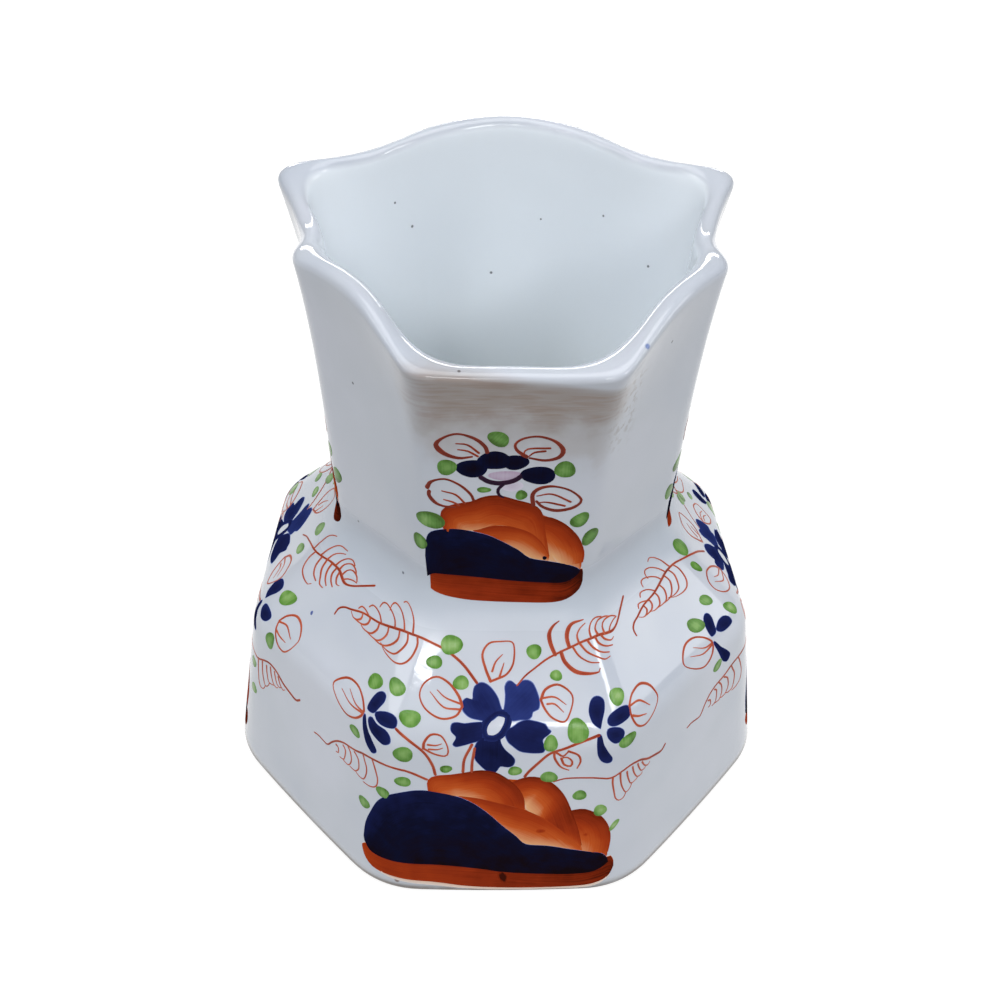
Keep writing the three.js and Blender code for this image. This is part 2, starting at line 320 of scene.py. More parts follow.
def new_piece(name, points, faces, material):
    """A smooth mesh piece from points in millimetres."""
    mesh = bpy.data.meshes.new(name)
    mesh.from_pydata((np.asarray(points) * MM).tolist(), [], faces)
    mesh.update()
    mesh.polygons.foreach_set("use_smooth", np.ones(len(mesh.polygons), bool))
    piece = bpy.data.objects.new(name, mesh)
    bpy.context.scene.collection.objects.link(piece)
    mesh.materials.append(material)
    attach(piece, "root")
    return piece


def add_value(piece, name, values):
    """Keeps one number for each point of a piece, for its material to read."""
    attribute = piece.data.attributes.new(name, "FLOAT", "POINT")
    attribute.data.foreach_set("value", np.asarray(values, np.float32))


def turned_faces(row_count, ring_count, tipped):
    """Quads between rings of points. If tipped, the first and last points close the ends."""
    faces = []
    start = 1 if tipped else 0
    if tipped:
        faces += [(0, start + (i + 1) % ring_count, start + i) for i in range(ring_count)]
    for row in range(row_count - 1):
        low, high = start + row * ring_count, start + (row + 1) * ring_count
        for i in range(ring_count):
            j = (i + 1) % ring_count
            faces.append((low + i, low + j, high + j, high + i))
    if tipped:
        low = start + (row_count - 1) * ring_count
        tip = low + ring_count
        faces += [(low + i, low + (i + 1) % ring_count, tip) for i in range(ring_count)]
    return faces


# Painting
# Every shape is drawn flat in millimetres, across a panel and up the wall, and later laid on it.


# Place of a motif that isn't moved: across, up, tilt in degrees, and how wide and tall it's drawn
STRAIGHT = (0, 0, 0, 1, 1)


def turned(x, y, tilt, middle):
    """A place, or many, turned by a tilt in degrees and set down at a middle."""
    cosine, sine = math.cos(math.radians(tilt)), math.sin(math.radians(tilt))
    return middle[0] + x * cosine - y * sine, middle[1] + x * sine + y * cosine


class Paint:
    """Flat shapes in one pigment. Each point has its load of pigment and its place in the stroke:
    millimetres along it and across it.

    What is added is first moved by the motif's present place on its panel.
    """

    def __init__(self):
        self.points, self.faces, self.loads, self.strokes = [], [], [], []
        self.centre, self.place = (0, 0), STRAIGHT

    def add(self, points, faces, loads, strokes):
        start = len(self.points)
        across, up, tilt, wide, tall = self.place
        middle = (self.centre[0] + across, self.centre[1] + up)
        for x, y, proud in points:
            x, y = (x - self.centre[0]) * wide, (y - self.centre[1]) * tall
            self.points.append((*turned(x, y, tilt, middle), proud))
        self.faces += [tuple(start + i for i in face) for face in faces]
        self.loads += list(loads)
        self.strokes += [tuple(stroke) for stroke in strokes]


def smooth_route(points, step, closed=False):
    """A smooth curve through given points, with points about a step apart."""
    given = np.array(points, float)
    count = len(given)
    if count == 2 and not closed:
        parts = max(1, math.ceil(np.linalg.norm(given[1] - given[0]) / step))
        return np.array([given[0] + (given[1] - given[0]) * i / parts for i in range(parts + 1)])
    if closed:
        before, after, after_next = np.roll(given, 1, 0), np.roll(given, -1, 0), np.roll(given, -2, 0)
    else:
        before = np.vstack([2 * given[0] - given[1], given[:-1]])
        after = np.vstack([given[1:], 2 * given[-1] - given[-2]])
        after_next = np.vstack([given[2:], after[-1], 2 * after[-1] - after[-2]])
    route = []
    for i in range(count if closed else count - 1):
        p0, p1, p2, p3 = before[i], given[i], after[i], after_next[i]
        parts = max(1, math.ceil(np.linalg.norm(p2 - p1) / step))
        route += [between(p0, p1, p2, p3, share) for share in np.arange(parts) / parts]
    if not closed:
        route.append(given[-1])
    return np.array(route)


def resampled(route, count):
    """The same route with a given number of evenly spaced points."""
    lengths = lengths_along(route)
    places = np.linspace(0, lengths[-1], count)
    return np.column_stack([np.interp(places, lengths, route[:, axis]) for axis in (0, 1)])


def headings(route):
    """The direction of a route at each of its points."""
    heading = np.gradient(route, axis=0)
    return heading / np.maximum(np.linalg.norm(heading, axis=1, keepdims=True), 1e-9)


def spread_over(values, shares):
    """Values set evenly from a stroke's start to its end, read at shares of its length."""
    return np.interp(shares, np.linspace(0, 1, len(values)), values)


# Marks end under the glaze surface, and their walls meet their tops in a crease
SUNK = -0.15
CREASE = math.radians(50)

# Distance between the points of a brush line's route, a shape's edge and a sweep's edges
LINE_STEP, EDGE_STEP, SWEEP_STEP = 0.7, 0.6, 1.0

# A shape's edge slopes over this width
BEVEL = 0.3

# Round tip of a brush line: how far out from its end, and how wide there, in line widths
TIP = ((0.5, 0.05), (0.44, 0.45), (0.28, 0.8))

# Section of a brush line: half widths to the left, and height as a share of the line's
SECTION = ((1, 0.7), (0.5, 0.95), (0, 1), (-0.5, 0.95), (-1, 0.7))


def brush_line(paint, points, width=0.45, pressure=(0.8, 1.0, 0.4), load=0.7, proud=0.05, closed=False):
    """A brush line: its width follows the pressures, evenly spaced from its start to its end."""
    route = smooth_route(points, LINE_STEP, closed)
    if closed:
        route = np.vstack([route, route[0]])
    along = lengths_along(route)
    heading = headings(route)
    widths = width * spread_over(pressure, along / max(along[-1], 1e-9))
    tips = np.array(TIP)
    before = route[0] - heading[0] * tips[:, :1] * widths[0]
    after = (route[-1] + heading[-1] * tips[:, :1] * widths[-1])[::-1]
    along = np.concatenate([-tips[:, 0] * widths[0], along, along[-1] + tips[::-1, 0] * widths[-1]])
    widths = np.concatenate([tips[:, 1] * widths[0], widths, tips[::-1, 1] * widths[-1]])
    heading = np.vstack([heading[[0] * len(TIP)], heading, heading[[-1] * len(TIP)]])
    route = np.vstack([before, route, after])
    leftward = np.column_stack([-heading[:, 1], heading[:, 0]])
    section = ((1, SUNK), *((side, share * proud) for side, share in SECTION), (-1, SUNK))
    points_out, loads, strokes = [], [], []
    for i, centre in enumerate(route):
        at_tip = i in (0, len(route) - 1)
        for side, height in section:
            place = centre + leftward[i] * side * widths[i] / 2
            points_out.append((*place, SUNK if at_tip else height))
            loads.append(load * (1 - 0.3 * abs(side)))
            strokes.append((along[i], side * widths[i] / 2))
    around, last = len(section), len(points_out) - len(section)
    faces = []
    for low in range(0, last, around):
        for i in range(around):
            j = (i + 1) % around
            faces.append((low + i, low + around + i, low + around + j, low + j))
    faces += [tuple(range(around)), tuple(last + i for i in reversed(range(around)))]
    paint.add(points_out, faces, loads, strokes)


def brush_shape(paint, outline_points, load_edge, load_centre, proud, grain=0.0, bleed=0.0):
    """A filled shape, such as a petal or a dab. Bleed is how far its colour runs out round it."""
    edge = smooth_route(outline_points, EDGE_STEP, closed=True)
    area = 0.5 * np.sum(edge[:, 0] * np.roll(edge[:, 1], -1) - np.roll(edge[:, 0], -1) * edge[:, 1])
    if area < 0:
        edge = edge[::-1]
    middle = edge.mean(0)
    spread = np.linalg.norm(edge - middle, axis=1).mean()
    along = np.array([math.cos(grain), math.sin(grain)])
    across = np.array([-along[1], along[0]])

    # Rings from the buried middle out, over the edge and in again: size, height and load
    rim_load = 0.0 if bleed else load_edge
    rim, top = 1 + bleed / spread, 1 - BEVEL / spread
    rings = [(0, SUNK, load_centre), (rim, SUNK, rim_load), (rim, proud * 0.5, rim_load)]
    if bleed:
        rings.append((1.0, proud * 0.7, load_edge))
    rings.append((top, proud, load_edge))
    for scale in (0.72, 0.5, 0.28):
        rings.append((scale * top, proud, load_edge + (load_centre - load_edge) * (1 - scale) * 1.3))
    rings.append((0, proud, load_centre))
    points_out, loads, strokes = [], [], []
    for scale, height, load in rings:
        for point in edge if scale else edge[:1]:
            place = middle + (point - middle) * scale
            points_out.append((*place, height))
            loads.append(load)
            strokes.append((place @ along, place @ across))
    faces = turned_faces(len(rings) - 2, len(edge), True)
    paint.add(points_out, faces, loads, strokes)


def dab(paint, across, up, width, height, tilt=0.0, load_edge=0.62, load_centre=0.36, proud=0.07):
    """One touch of a loaded brush: a slightly uneven oval."""
    angles = np.arange(12) * math.tau / 12
    uneven = 1 + 0.05 * np.sin(3 * angles + across) + 0.04 * np.sin(2 * angles + up * 1.7)
    x, y = np.cos(angles) * width / 2 * uneven, np.sin(angles) * height / 2 * uneven
    edge = np.column_stack(turned(x, y, tilt, (across, up)))
    brush_shape(paint, edge, load_edge, load_centre, proud, grain=math.radians(tilt + 90))


def brush_sweep(paint, outer, inner, outer_loads, inner_loads, proud, rows=9, bleed=0.0, fall=0.8):
    """A broad sweep between an outer and an inner edge. Loads run along each edge.

    Bleed is how far the colour runs out beyond the outer edge. A higher fall keeps the load longer.
    """
    outer_route = smooth_route(outer, SWEEP_STEP)
    length = lengths_along(outer_route)[-1]
    count = max(6, int(length / SWEEP_STEP))
    outer_route = resampled(outer_route, count)
    inner_route = resampled(smooth_route(inner, SWEEP_STEP), count)
    widths = np.linalg.norm(outer_route - inner_route, axis=1)
    shares = np.linspace(0, 1, rows)
    if bleed:
        shares = np.concatenate([[-1], shares])
    away = (outer_route - inner_route) / np.maximum(widths, 1e-6)[:, None] * bleed
    evenly = np.linspace(0, 1, count)
    outer_load, inner_load = spread_over(outer_loads, evenly), spread_over(inner_loads, evenly)
    top, loads, strokes = [], [], []
    for share in shares:
        beyond = share < 0
        share = max(share, 0)
        fade = share**fall
        for i in range(count):
            place = outer_route[i] * (1 - share) + inner_route[i] * share + away[i] * beyond
            top.append((*place, proud * (0.6 if beyond else 1)))
            loads.append(0 if beyond else outer_load[i] * (1 - fade) + inner_load[i] * fade)
            strokes.append((length * i / count, widths[i] * share))
    under = [(x, y, SUNK) for x, y, _ in top]
    size = len(top)
    faces = []
    for a in range(size - count):
        if a % count < count - 1:
            b, c, d = a + 1, a + 1 + count, a + count
            faces += [(a, d, c, b), (size + a, size + b, size + c, size + d)]
    grid = np.arange(size).reshape(len(shares), count)
    rim = np.concatenate([grid[0], grid[1:, -1], grid[-1, -2::-1], grid[-2:0:-1, 0]]).tolist()
    faces += [(a, b, size + b, size + a) for a, b in zip(rim, rim[1:] + rim[:1])]
    paint.add(top + under, faces, loads * 2, strokes * 2)


# The pattern on the body


# Notched petals of the main flower, each with its load of cobalt, and the ring round its middle
PETALS = (
    (0.42, ((-3.1, 48.6), (-5.9, 48.9), (-7.3, 49.4), (-8.3, 50.4), (-8.6, 51.4), (-8.4, 52.4), (-7.6, 53),
            (-6.6, 52.7), (-6.5, 53.9), (-6.2, 55.1), (-5.3, 55.8), (-4.3, 55.8), (-3.3, 55.2),
            (-2.4, 54.2), (-1.6, 52.9), (-1.2, 51.6), (-0.9, 50.6), (-1.4, 49.9))),
    (0.34, ((-0.2, 50.2), (0, 51.9), (0.1, 53.6), (0, 55.2), (0.6, 56.2), (1.4, 56.2), (2.4, 55.5),
            (3.4, 56.3), (4.5, 56.4), (5.5, 55.8), (6.2, 54.4), (6.7, 52.9), (6.8, 51.6), (6.5, 50.8),
            (5.5, 50.3), (5.3, 49.5), (4.5, 48.8), (3.1, 48.8), (1.6, 48.6), (0.6, 49.1))),
    (0.55, ((-4.4, 47.8), (-6.4, 48), (-8.1, 47.8), (-9.5, 48), (-10.5, 47.8), (-10.8, 46.9), (-10.6, 46.1),
            (-9.8, 45.2), (-10, 44.5), (-10.4, 43.7), (-9.8, 43.1), (-8.4, 43.4), (-6.9, 43.9),
            (-5.6, 44.3), (-4.5, 45))),
    (0.5, ((0.2, 46.3), (1.6, 47.1), (2.8, 48), (4.3, 48.5), (5.8, 48.3), (7, 48), (8, 47.6), (8.5, 46.8),
           (9.1, 46.3), (8.6, 45.6), (7.6, 44.7), (7.6, 43.9), (8, 42.7), (7.7, 41.7), (6.3, 41.5),
           (4.6, 41.6), (3.1, 42), (1.7, 43.2), (0.7, 44.3))),
    (0.58, ((-4.4, 45.2), (-3.1, 45), (-1.7, 45.2), (-1.1, 44.7), (-0.8, 43.5), (0, 42.1), (1.2, 40.8),
            (1.9, 39.5), (1.5, 38.1), (0.5, 37.7), (-0.9, 37.9), (-1.4, 37), (-2.2, 36.2), (-3.6, 36.8),
            (-5, 38.4), (-5.9, 39.9), (-6.1, 41.9), (-5.7, 43.5), (-5.1, 44.5))),
)
FLOWER_RING = ((0.4, 49.6), (0.6, 48.4), (0.1, 47), (-0.8, 45.6), (-2.2, 44.8), (-3.8, 45), (-4.4, 46.3),
               (-4.1, 47.8), (-3, 49.2), (-1.5, 50.1))
FLOWER_MIDDLE = (-2, 47.5)


def main_flower(cobalt):
    """Five notched petals, joined by a dark ring round a pale oval."""
    for load, petal in PETALS:
        middle = np.mean(petal, axis=0)
        grain = math.atan2(middle[1] - FLOWER_MIDDLE[1], middle[0] - FLOWER_MIDDLE[0])
        brush_shape(cobalt, petal, load, load + 0.08, 0.05, grain, bleed=0.35)
    brush_line(cobalt, FLOWER_RING, 1.5, (1, 1, 1), 0.55, 0.052, closed=True)


LEFT_TOUCHES = (
    ((-28.3, 46.9), (-29.6, 47), (-28.9, 48.7), (-27.3, 50.7), (-25.7, 51.6), (-24.9, 51.3), (-25.2, 50.1),
     (-26.4, 48.6), (-27.4, 47.4)),
    ((-27.1, 47.4), (-24.7, 48.6), (-22.8, 48.7), (-22, 47.9), (-22.3, 46.6), (-23.6, 46.1), (-25.6, 46),
     (-26.8, 46.4)),
    ((-28.9, 45.5), (-27.9, 46), (-26.6, 45.5), (-24.5, 45.3), (-23.5, 44.3), (-23.6, 42.9), (-25, 42),
     (-26.8, 42.5), (-28.4, 43.3), (-29.1, 44.6)),
    ((-30.8, 44.6), (-30, 45.3), (-29.4, 43.2), (-28, 41.3), (-26.9, 39.6), (-27.2, 38.7), (-28.3, 38.1),
     (-29.9, 39.4), (-30.7, 41.9)),
)

RIGHT_TOUCHES = (
    ((18.9, 47.2), (17.7, 48.2), (17, 50.2), (17.3, 52.2), (18, 53), (19, 53), (20, 52.1), (20.1, 50.4),
     (19.6, 48.5), (19.3, 47)),
    ((20.9, 48.3), (21.6, 49.3), (23.5, 49.8), (25.3, 49.5), (26.4, 48.5), (26, 47.4), (24.3, 47),
     (22.4, 46.9), (21.2, 47.4)),
    ((20.9, 46.4), (21.9, 46.6), (23.5, 46.1), (24.5, 45), (24.1, 43.6), (22.7, 43.2), (21.4, 44.2),
     (20.8, 45.4)),
    ((19.2, 45.5), (19.7, 45), (20.2, 43.2), (21.3, 41.1), (22.1, 39.7), (22, 38.7), (21.1, 38.5),
     (19.9, 39.2), (19.1, 40.8), (18.8, 43.1), (18.8, 44.8)),
)


def small_flower(cobalt, touches):
    """Four loose drop-shaped touches."""
    for touch in touches:
        brush_shape(cobalt, touch, 0.5, 0.62, 0.05, bleed=0.25)


# Looped leaves, each with its outline and its veins
LOOP_LEAVES = {
    "flower_top_leaf": (
        ((-3, 56.3), (-4, 58.7), (-4.7, 61.7), (-3.4, 63.9), (-1, 64.3), (1.3, 64.2), (1.8, 62.5),
         (1.5, 59.7), (0.2, 57.7), (-1.7, 56.8)),
        (((-2.7, 58.3), (-2, 60.2), (-0.6, 61.7)), ((-1.2, 57.2), (-0.3, 60))),
    ),
    "flower_left_leaf": (
        ((-8.7, 51.3), (-9.5, 53.5), (-11.5, 56), (-14, 57.2), (-16.4, 55.9), (-17.3, 53.4), (-16, 50.7),
         (-13, 48.9), (-10, 49.4)),
        (((-9, 51.8), (-12, 53), (-13.8, 54.6)), ((-9.3, 50.7), (-12.5, 51.2), (-15.2, 54.2))),
    ),
    "flower_right_leaf": (
        ((7.2, 52.6), (8.1, 54.7), (10.5, 55.7), (12.7, 54.6), (13.7, 53), (13.2, 50.4), (12, 48.3),
         (9.6, 49), (8, 50.8)),
        (((7.6, 53), (10, 53.2), (12.3, 51.7)), ((8.5, 51.8), (10, 51.8), (11.8, 50.2))),
    ),
    "left_flower_leaf": (
        ((-31, 45.4), (-30.7, 46), (-31.5, 48), (-33.5, 49.3), (-36.8, 48.9), (-40.8, 46), (-39.5, 43.5),
         (-36.5, 42), (-33.6, 42.8), (-31.5, 44.5)),
        (((-31, 45.5), (-33.5, 45.8), (-35.5, 47.5)), ((-31, 45.2), (-35, 44.9), (-38, 46.3))),
    ),
    "right_flower_leaf": (
        ((26.3, 49.2), (27.4, 50.6), (30, 51.1), (33, 49.6), (35.2, 47), (35.4, 45.5), (33.8, 43.8),
         (31.2, 43), (28.5, 44.3), (26.7, 47)),
        (((26.5, 49), (29.5, 48.5), (32.8, 46)), ((27, 47), (29, 45.9), (31.5, 45))),
    ),
    "left_flower_low_leaf": (
        ((-16.5, 42.5), (-16.3, 44), (-15, 45.6), (-13, 45.4), (-11.8, 43.5), (-11.5, 41.5), (-12.2, 40.5),
         (-14.4, 41.1)),
        (((-15.6, 43.4), (-14, 43.2), (-12.8, 43.6)), ((-15.4, 42.3), (-13.7, 42.2), (-12.6, 42.6))),
    ),
}


def leaf(red, outline_points, veins):
    """A looped outline, thick where it meets the flower, with two veins."""
    brush_line(red, (*outline_points, outline_points[0]), 0.4, (1.6, 0.75, 1.3), 0.6)
    for vein in veins:
        brush_line(red, vein, 0.36, (1.3, 1.0, 0.5), 0.52)


def bud(red):
    for points in (((10.1, 41.3), (10.3, 39.8), (11.6, 37.6), (13.3, 36.7)),
                   ((13, 41.8), (15, 40.8), (15.6, 39.1), (15, 37.2)),
                   ((11.6, 39.9), (12.3, 38.2), (13.6, 37.8), (13.9, 39), (12.8, 40.2), (11.6, 39.9)),
                   ((10.6, 41.4), (11.9, 40.5), (12.9, 41.6))):
        brush_line(red, points, 0.5, (1.1, 1.0, 0.6), 0.65)


# Each fern: spine and stem, then fronds above and below
FERNS = {
    "upper_left_fern": (
        ((-43, 57.6), (-41.8, 59.2), (-40, 60.2), (-38, 60.7), (-33.9, 61.8), (-29.1, 62.3), (-24.2, 63.5),
         (-21.5, 64.2), (-18, 64.5), (-15.6, 64.1), (-12.7, 62.9), (-10.3, 61.2), (-8.2, 59.2), (-5.8, 56)),
        (
            ((-19.2, 64.7), (-19.2, 67.1), (-20.2, 68.9), (-21.4, 69.5), (-22.3, 69)),
            ((-21.4, 64.3), (-21.8, 66), (-23, 67.4), (-24.7, 67.8), (-25.8, 66.9), (-26.2, 65.8)),
            ((-24.2, 63.5), (-24.4, 64.8), (-25.6, 65.9), (-27.3, 66.5), (-28.5, 66.1), (-29.3, 65)),
            ((-28.3, 62.5), (-29, 63.7), (-30.1, 64.3), (-31.4, 64.4), (-32.5, 63.6)),
            ((-31.9, 61.8), (-33.4, 62.6), (-34.7, 62.7), (-35.7, 61.9)),
            ((-18.1, 64.3), (-18.1, 62.7), (-19.4, 60.1), (-21.4, 58.4), (-23.8, 57.9), (-26.4, 58.3),
             (-27.4, 58.9)),
            ((-20.4, 64.3), (-20.5, 62.6), (-21.9, 60.7), (-23.7, 59.2), (-26.1, 58.8), (-27.9, 59.2)),
            ((-22.7, 63.7), (-23, 62.1), (-24.6, 60.5), (-26.6, 59.3), (-28.4, 58.9), (-30.4, 59)),
            ((-26, 63), (-26.3, 61.5), (-27.6, 60), (-29.1, 59.1), (-30.7, 59), (-32.2, 59.1)),
            ((-28.9, 62.3), (-29.3, 61), (-30.8, 59.6), (-32, 59.2), (-33.7, 59.2), (-34.6, 59.7)),
            ((-31.7, 61.9), (-32.3, 60.7), (-33.8, 59.8), (-35.8, 59.6), (-36.8, 59.7)),
            ((-34.2, 61.6), (-34.5, 60.6), (-35.8, 59.8), (-37.1, 59.7), (-37.8, 60.4)),
        ),
    ),
    "upper_right_fern": (
        ((2.3, 55.4), (4, 57.4), (6, 59), (8.4, 60.8), (11.1, 62.2), (15, 63.9), (17.2, 64.3), (19.6, 64.4),
         (21.8, 63.9), (23.7, 63.6), (25.2, 64.3), (26.5, 65.9), (27.9, 67.7)),
        (
            ((10.1, 61.7), (9.2, 63.8), (8.9, 65.9), (9.7, 67.5), (10.9, 68.5)),
            ((13, 63.2), (12.5, 65.1), (12.8, 66.9), (13.8, 68), (16, 68.3)),
            ((15, 63.9), (14.6, 65.5), (15.3, 66.8), (16.4, 67.5)),
            ((17.7, 64.4), (17.3, 66), (17.8, 67.3), (18.9, 67.8), (20.5, 67.4)),
            ((19.4, 64.4), (18.7, 65.9), (19.6, 67.1), (21.4, 67), (22.9, 66.4)),
            ((21.1, 64.1), (20.6, 65.6), (21.3, 66.4), (23.2, 66.3), (24.8, 65.6)),
            ((22.4, 63.7), (22.9, 64.6), (24, 65.2), (25.1, 65.4)),
            ((11.3, 62.2), (12.1, 60.2), (14.1, 58.4), (16.6, 57.8), (19.2, 57.7), (19.5, 58.3)),
            ((13.6, 63.4), (15, 61.4), (17.1, 60), (19.3, 59.4)),
            ((15.1, 63.9), (16.7, 62), (18.9, 60.6), (20.7, 59.6), (22.1, 59.6)),
            ((16.8, 64.2), (18, 62.6), (19.9, 61.2), (22, 60.4)),
            ((18.6, 64.3), (19.5, 62.9), (21.2, 61.8), (23.1, 61.2)),
            ((20.1, 64.2), (21.1, 63.1), (22.8, 62.2), (23.6, 62.4)),
        ),
    ),
    "lower_left_fern": (
        ((-48, 28.8), (-46.4, 29.1), (-44.6, 28.9), (-43.2, 29), (-41.5, 30.9), (-39.5, 32.6),
         (-37.2, 33.7), (-34.9, 34.2), (-33.1, 34.7), (-30.9, 35.6), (-28.2, 36.3), (-25.7, 36.6),
         (-21.7, 36.5), (-19.4, 36), (-16, 34.1)),
        (
            ((-28.1, 36.1), (-27.5, 34.6), (-27, 32.8), (-26.8, 31.4), (-27.1, 29.8), (-27.9, 28.8),
             (-29.3, 28.2), (-31.1, 28)),
            ((-30.9, 35.3), (-30.4, 34), (-29.9, 32.6), (-30.1, 30.7), (-31, 28.8), (-32.5, 28.5),
             (-33.6, 28.9)),
            ((-33.8, 33.9), (-32.7, 33.1), (-32.4, 31.6), (-32.6, 30.2), (-33.8, 28.9), (-35.5, 28.8)),
            ((-35.9, 33.7), (-35.2, 32.8), (-34.9, 31.2), (-35.3, 29.7), (-36.2, 28.7), (-37.7, 28.8)),
            ((-37.6, 32.8), (-36.9, 32.1), (-37.1, 30.4), (-37.7, 29), (-38.9, 28.8)),
            ((-40.1, 31.2), (-39.4, 30.9), (-39.4, 29.6), (-40.2, 29.3)),
        ),
    ),
    "lower_right_fern": (
        ((10.3, 33.5), (13, 34.4), (17.9, 34.5), (20, 34.3), (22.4, 33.9), (24.9, 34.8), (27.2, 35.3),
         (30, 34.6), (32.8, 32.9), (35.3, 32), (37.8, 31.3), (39.1, 32.1)),
        (
            ((22.8, 33.8), (22.9, 32.1), (23.4, 29.7), (23.9, 27.7), (24.8, 26.7), (25.9, 27),
             (26.4, 28.2)),
            ((24.5, 34.4), (24.7, 32.6), (25.2, 30.5), (26.4, 28.2), (27.5, 28.9), (27.8, 29.8)),
            ((26.2, 34), (26.6, 32.2), (27.5, 30.1), (28.6, 30), (29.5, 30.3)),
            ((27.7, 34.4), (28.3, 32.4), (29.5, 30.5), (30.8, 30.3), (31.1, 30.6)),
            ((29.3, 34.1), (29.8, 32.8), (30.7, 31.3), (31.8, 31), (32.2, 31.3)),
            ((30.8, 33.5), (31.8, 31.9), (33, 31.1), (33.6, 31.5)),
        ),
    ),
}


def fern(red, spine, fronds, thick=()):
    """A spine with bent fronds. The thick ones, at the fern's foot, swell and end in a point."""
    brush_line(red, spine, 0.55, (0.6, 0.9, 1.1), 0.75)
    for i, frond in enumerate(fronds):
        if i in thick:
            brush_line(red, frond, 0.8, (1.0, 1.15, 0.3), 0.72)
        else:
            brush_line(red, frond, 0.38, (1.3, 0.9, 0.6), 0.58)


def stems(red):
    for points in (((-22, 46.3), (-19, 44), (-16.4, 41.4), (-14.8, 38.2), (-14.2, 35.5)),
                   ((19, 45.5), (15, 43.8), (12.3, 42.5), (9.3, 41.2), (7, 38.7), (5, 36.2), (4.3, 35)),
                   ((-8.5, 36.3), (-8.2, 39.7), (-6.7, 43.4)), ((-6.7, 36.3), (-6.6, 39), (-6.1, 42.5))):
        brush_line(red, points, 0.65, (1.0, 0.9, 1.0), 0.72)


# Green dabs: middle across and up, width, height and tilt
BODY_DABS = (
    (-28.2, 52.3, 4.8, 2.6, 30), (-22.3, 53.9, 4.2, 3.2, 25), (-19.2, 48.8, 4.4, 3.6, 0),
    (-20.7, 40.7, 4.2, 4, 0), (-33.5, 39.6, 3.5, 2.5, 0), (-11, 63.6, 4.4, 4.2, 0),
    (-14.4, 60.1, 3.2, 2.8, 0), (-9, 56, 3.2, 3, 0), (-12, 37, 2.6, 2, 0), (-21, 33.2, 3.6, 2.7, 0),
    (-25.7, 28.6, 3.4, 2.8, 0), (-31, 22.4, 3.4, 3, 0), (5.8, 62.3, 3.2, 3, 0), (10.3, 57.5, 2.6, 2.2, 0),
    (14.7, 46.3, 4.4, 5.4, 0), (9.3, 43.6, 3, 3.8, 0), (23.2, 52, 4.2, 3, -45), (25.7, 42.6, 4.6, 3, 10),
    (2.2, 36.5, 3, 2.4, 0), (9.3, 34.8, 3.6, 3, 0), (16, 29.6, 3, 2.8, 0), (20.7, 25, 3, 3.2, 0),
    (24.3, 19.7, 1.4, 3.6, -35),
)

# The side panels share the dabs of one half with the front, and have their own on the other
LEFT_DABS = (
    (10, 65.8, 4.4, 3.4, 20), (12, 59.4, 4.2, 2.8, 25), (24.8, 53.4, 4.6, 4, 0), (30.8, 42.6, 3, 4.6, 15),
    (26, 31, 3, 3, 0), (28, 23.4, 3, 3, 0), (-8.4, 60.2, 3.6, 2.6, 0), (-9.2, 65.4, 4.6, 3, 30),
    (-5.2, 69.8, 3, 4.4, 0), *(touch for touch in BODY_DABS if touch[0] < -11),
)
RIGHT_DABS = (
    (-16.8, 67.4, 4.2, 5.2, 0), (-19.2, 61.8, 2.4, 3.4, 0), (-26.4, 55, 3.4, 3, 0), (-24, 49.4, 3, 4.2, 0),
    (-34.4, 52.2, 4.4, 4, 0), (-37.2, 39.8, 4, 2.4, 25), (3.6, 67.4, 4, 3, 0), (4.2, 63, 3.4, 3, 0),
    *(touch for touch in BODY_DABS if touch[0] > 5),
)


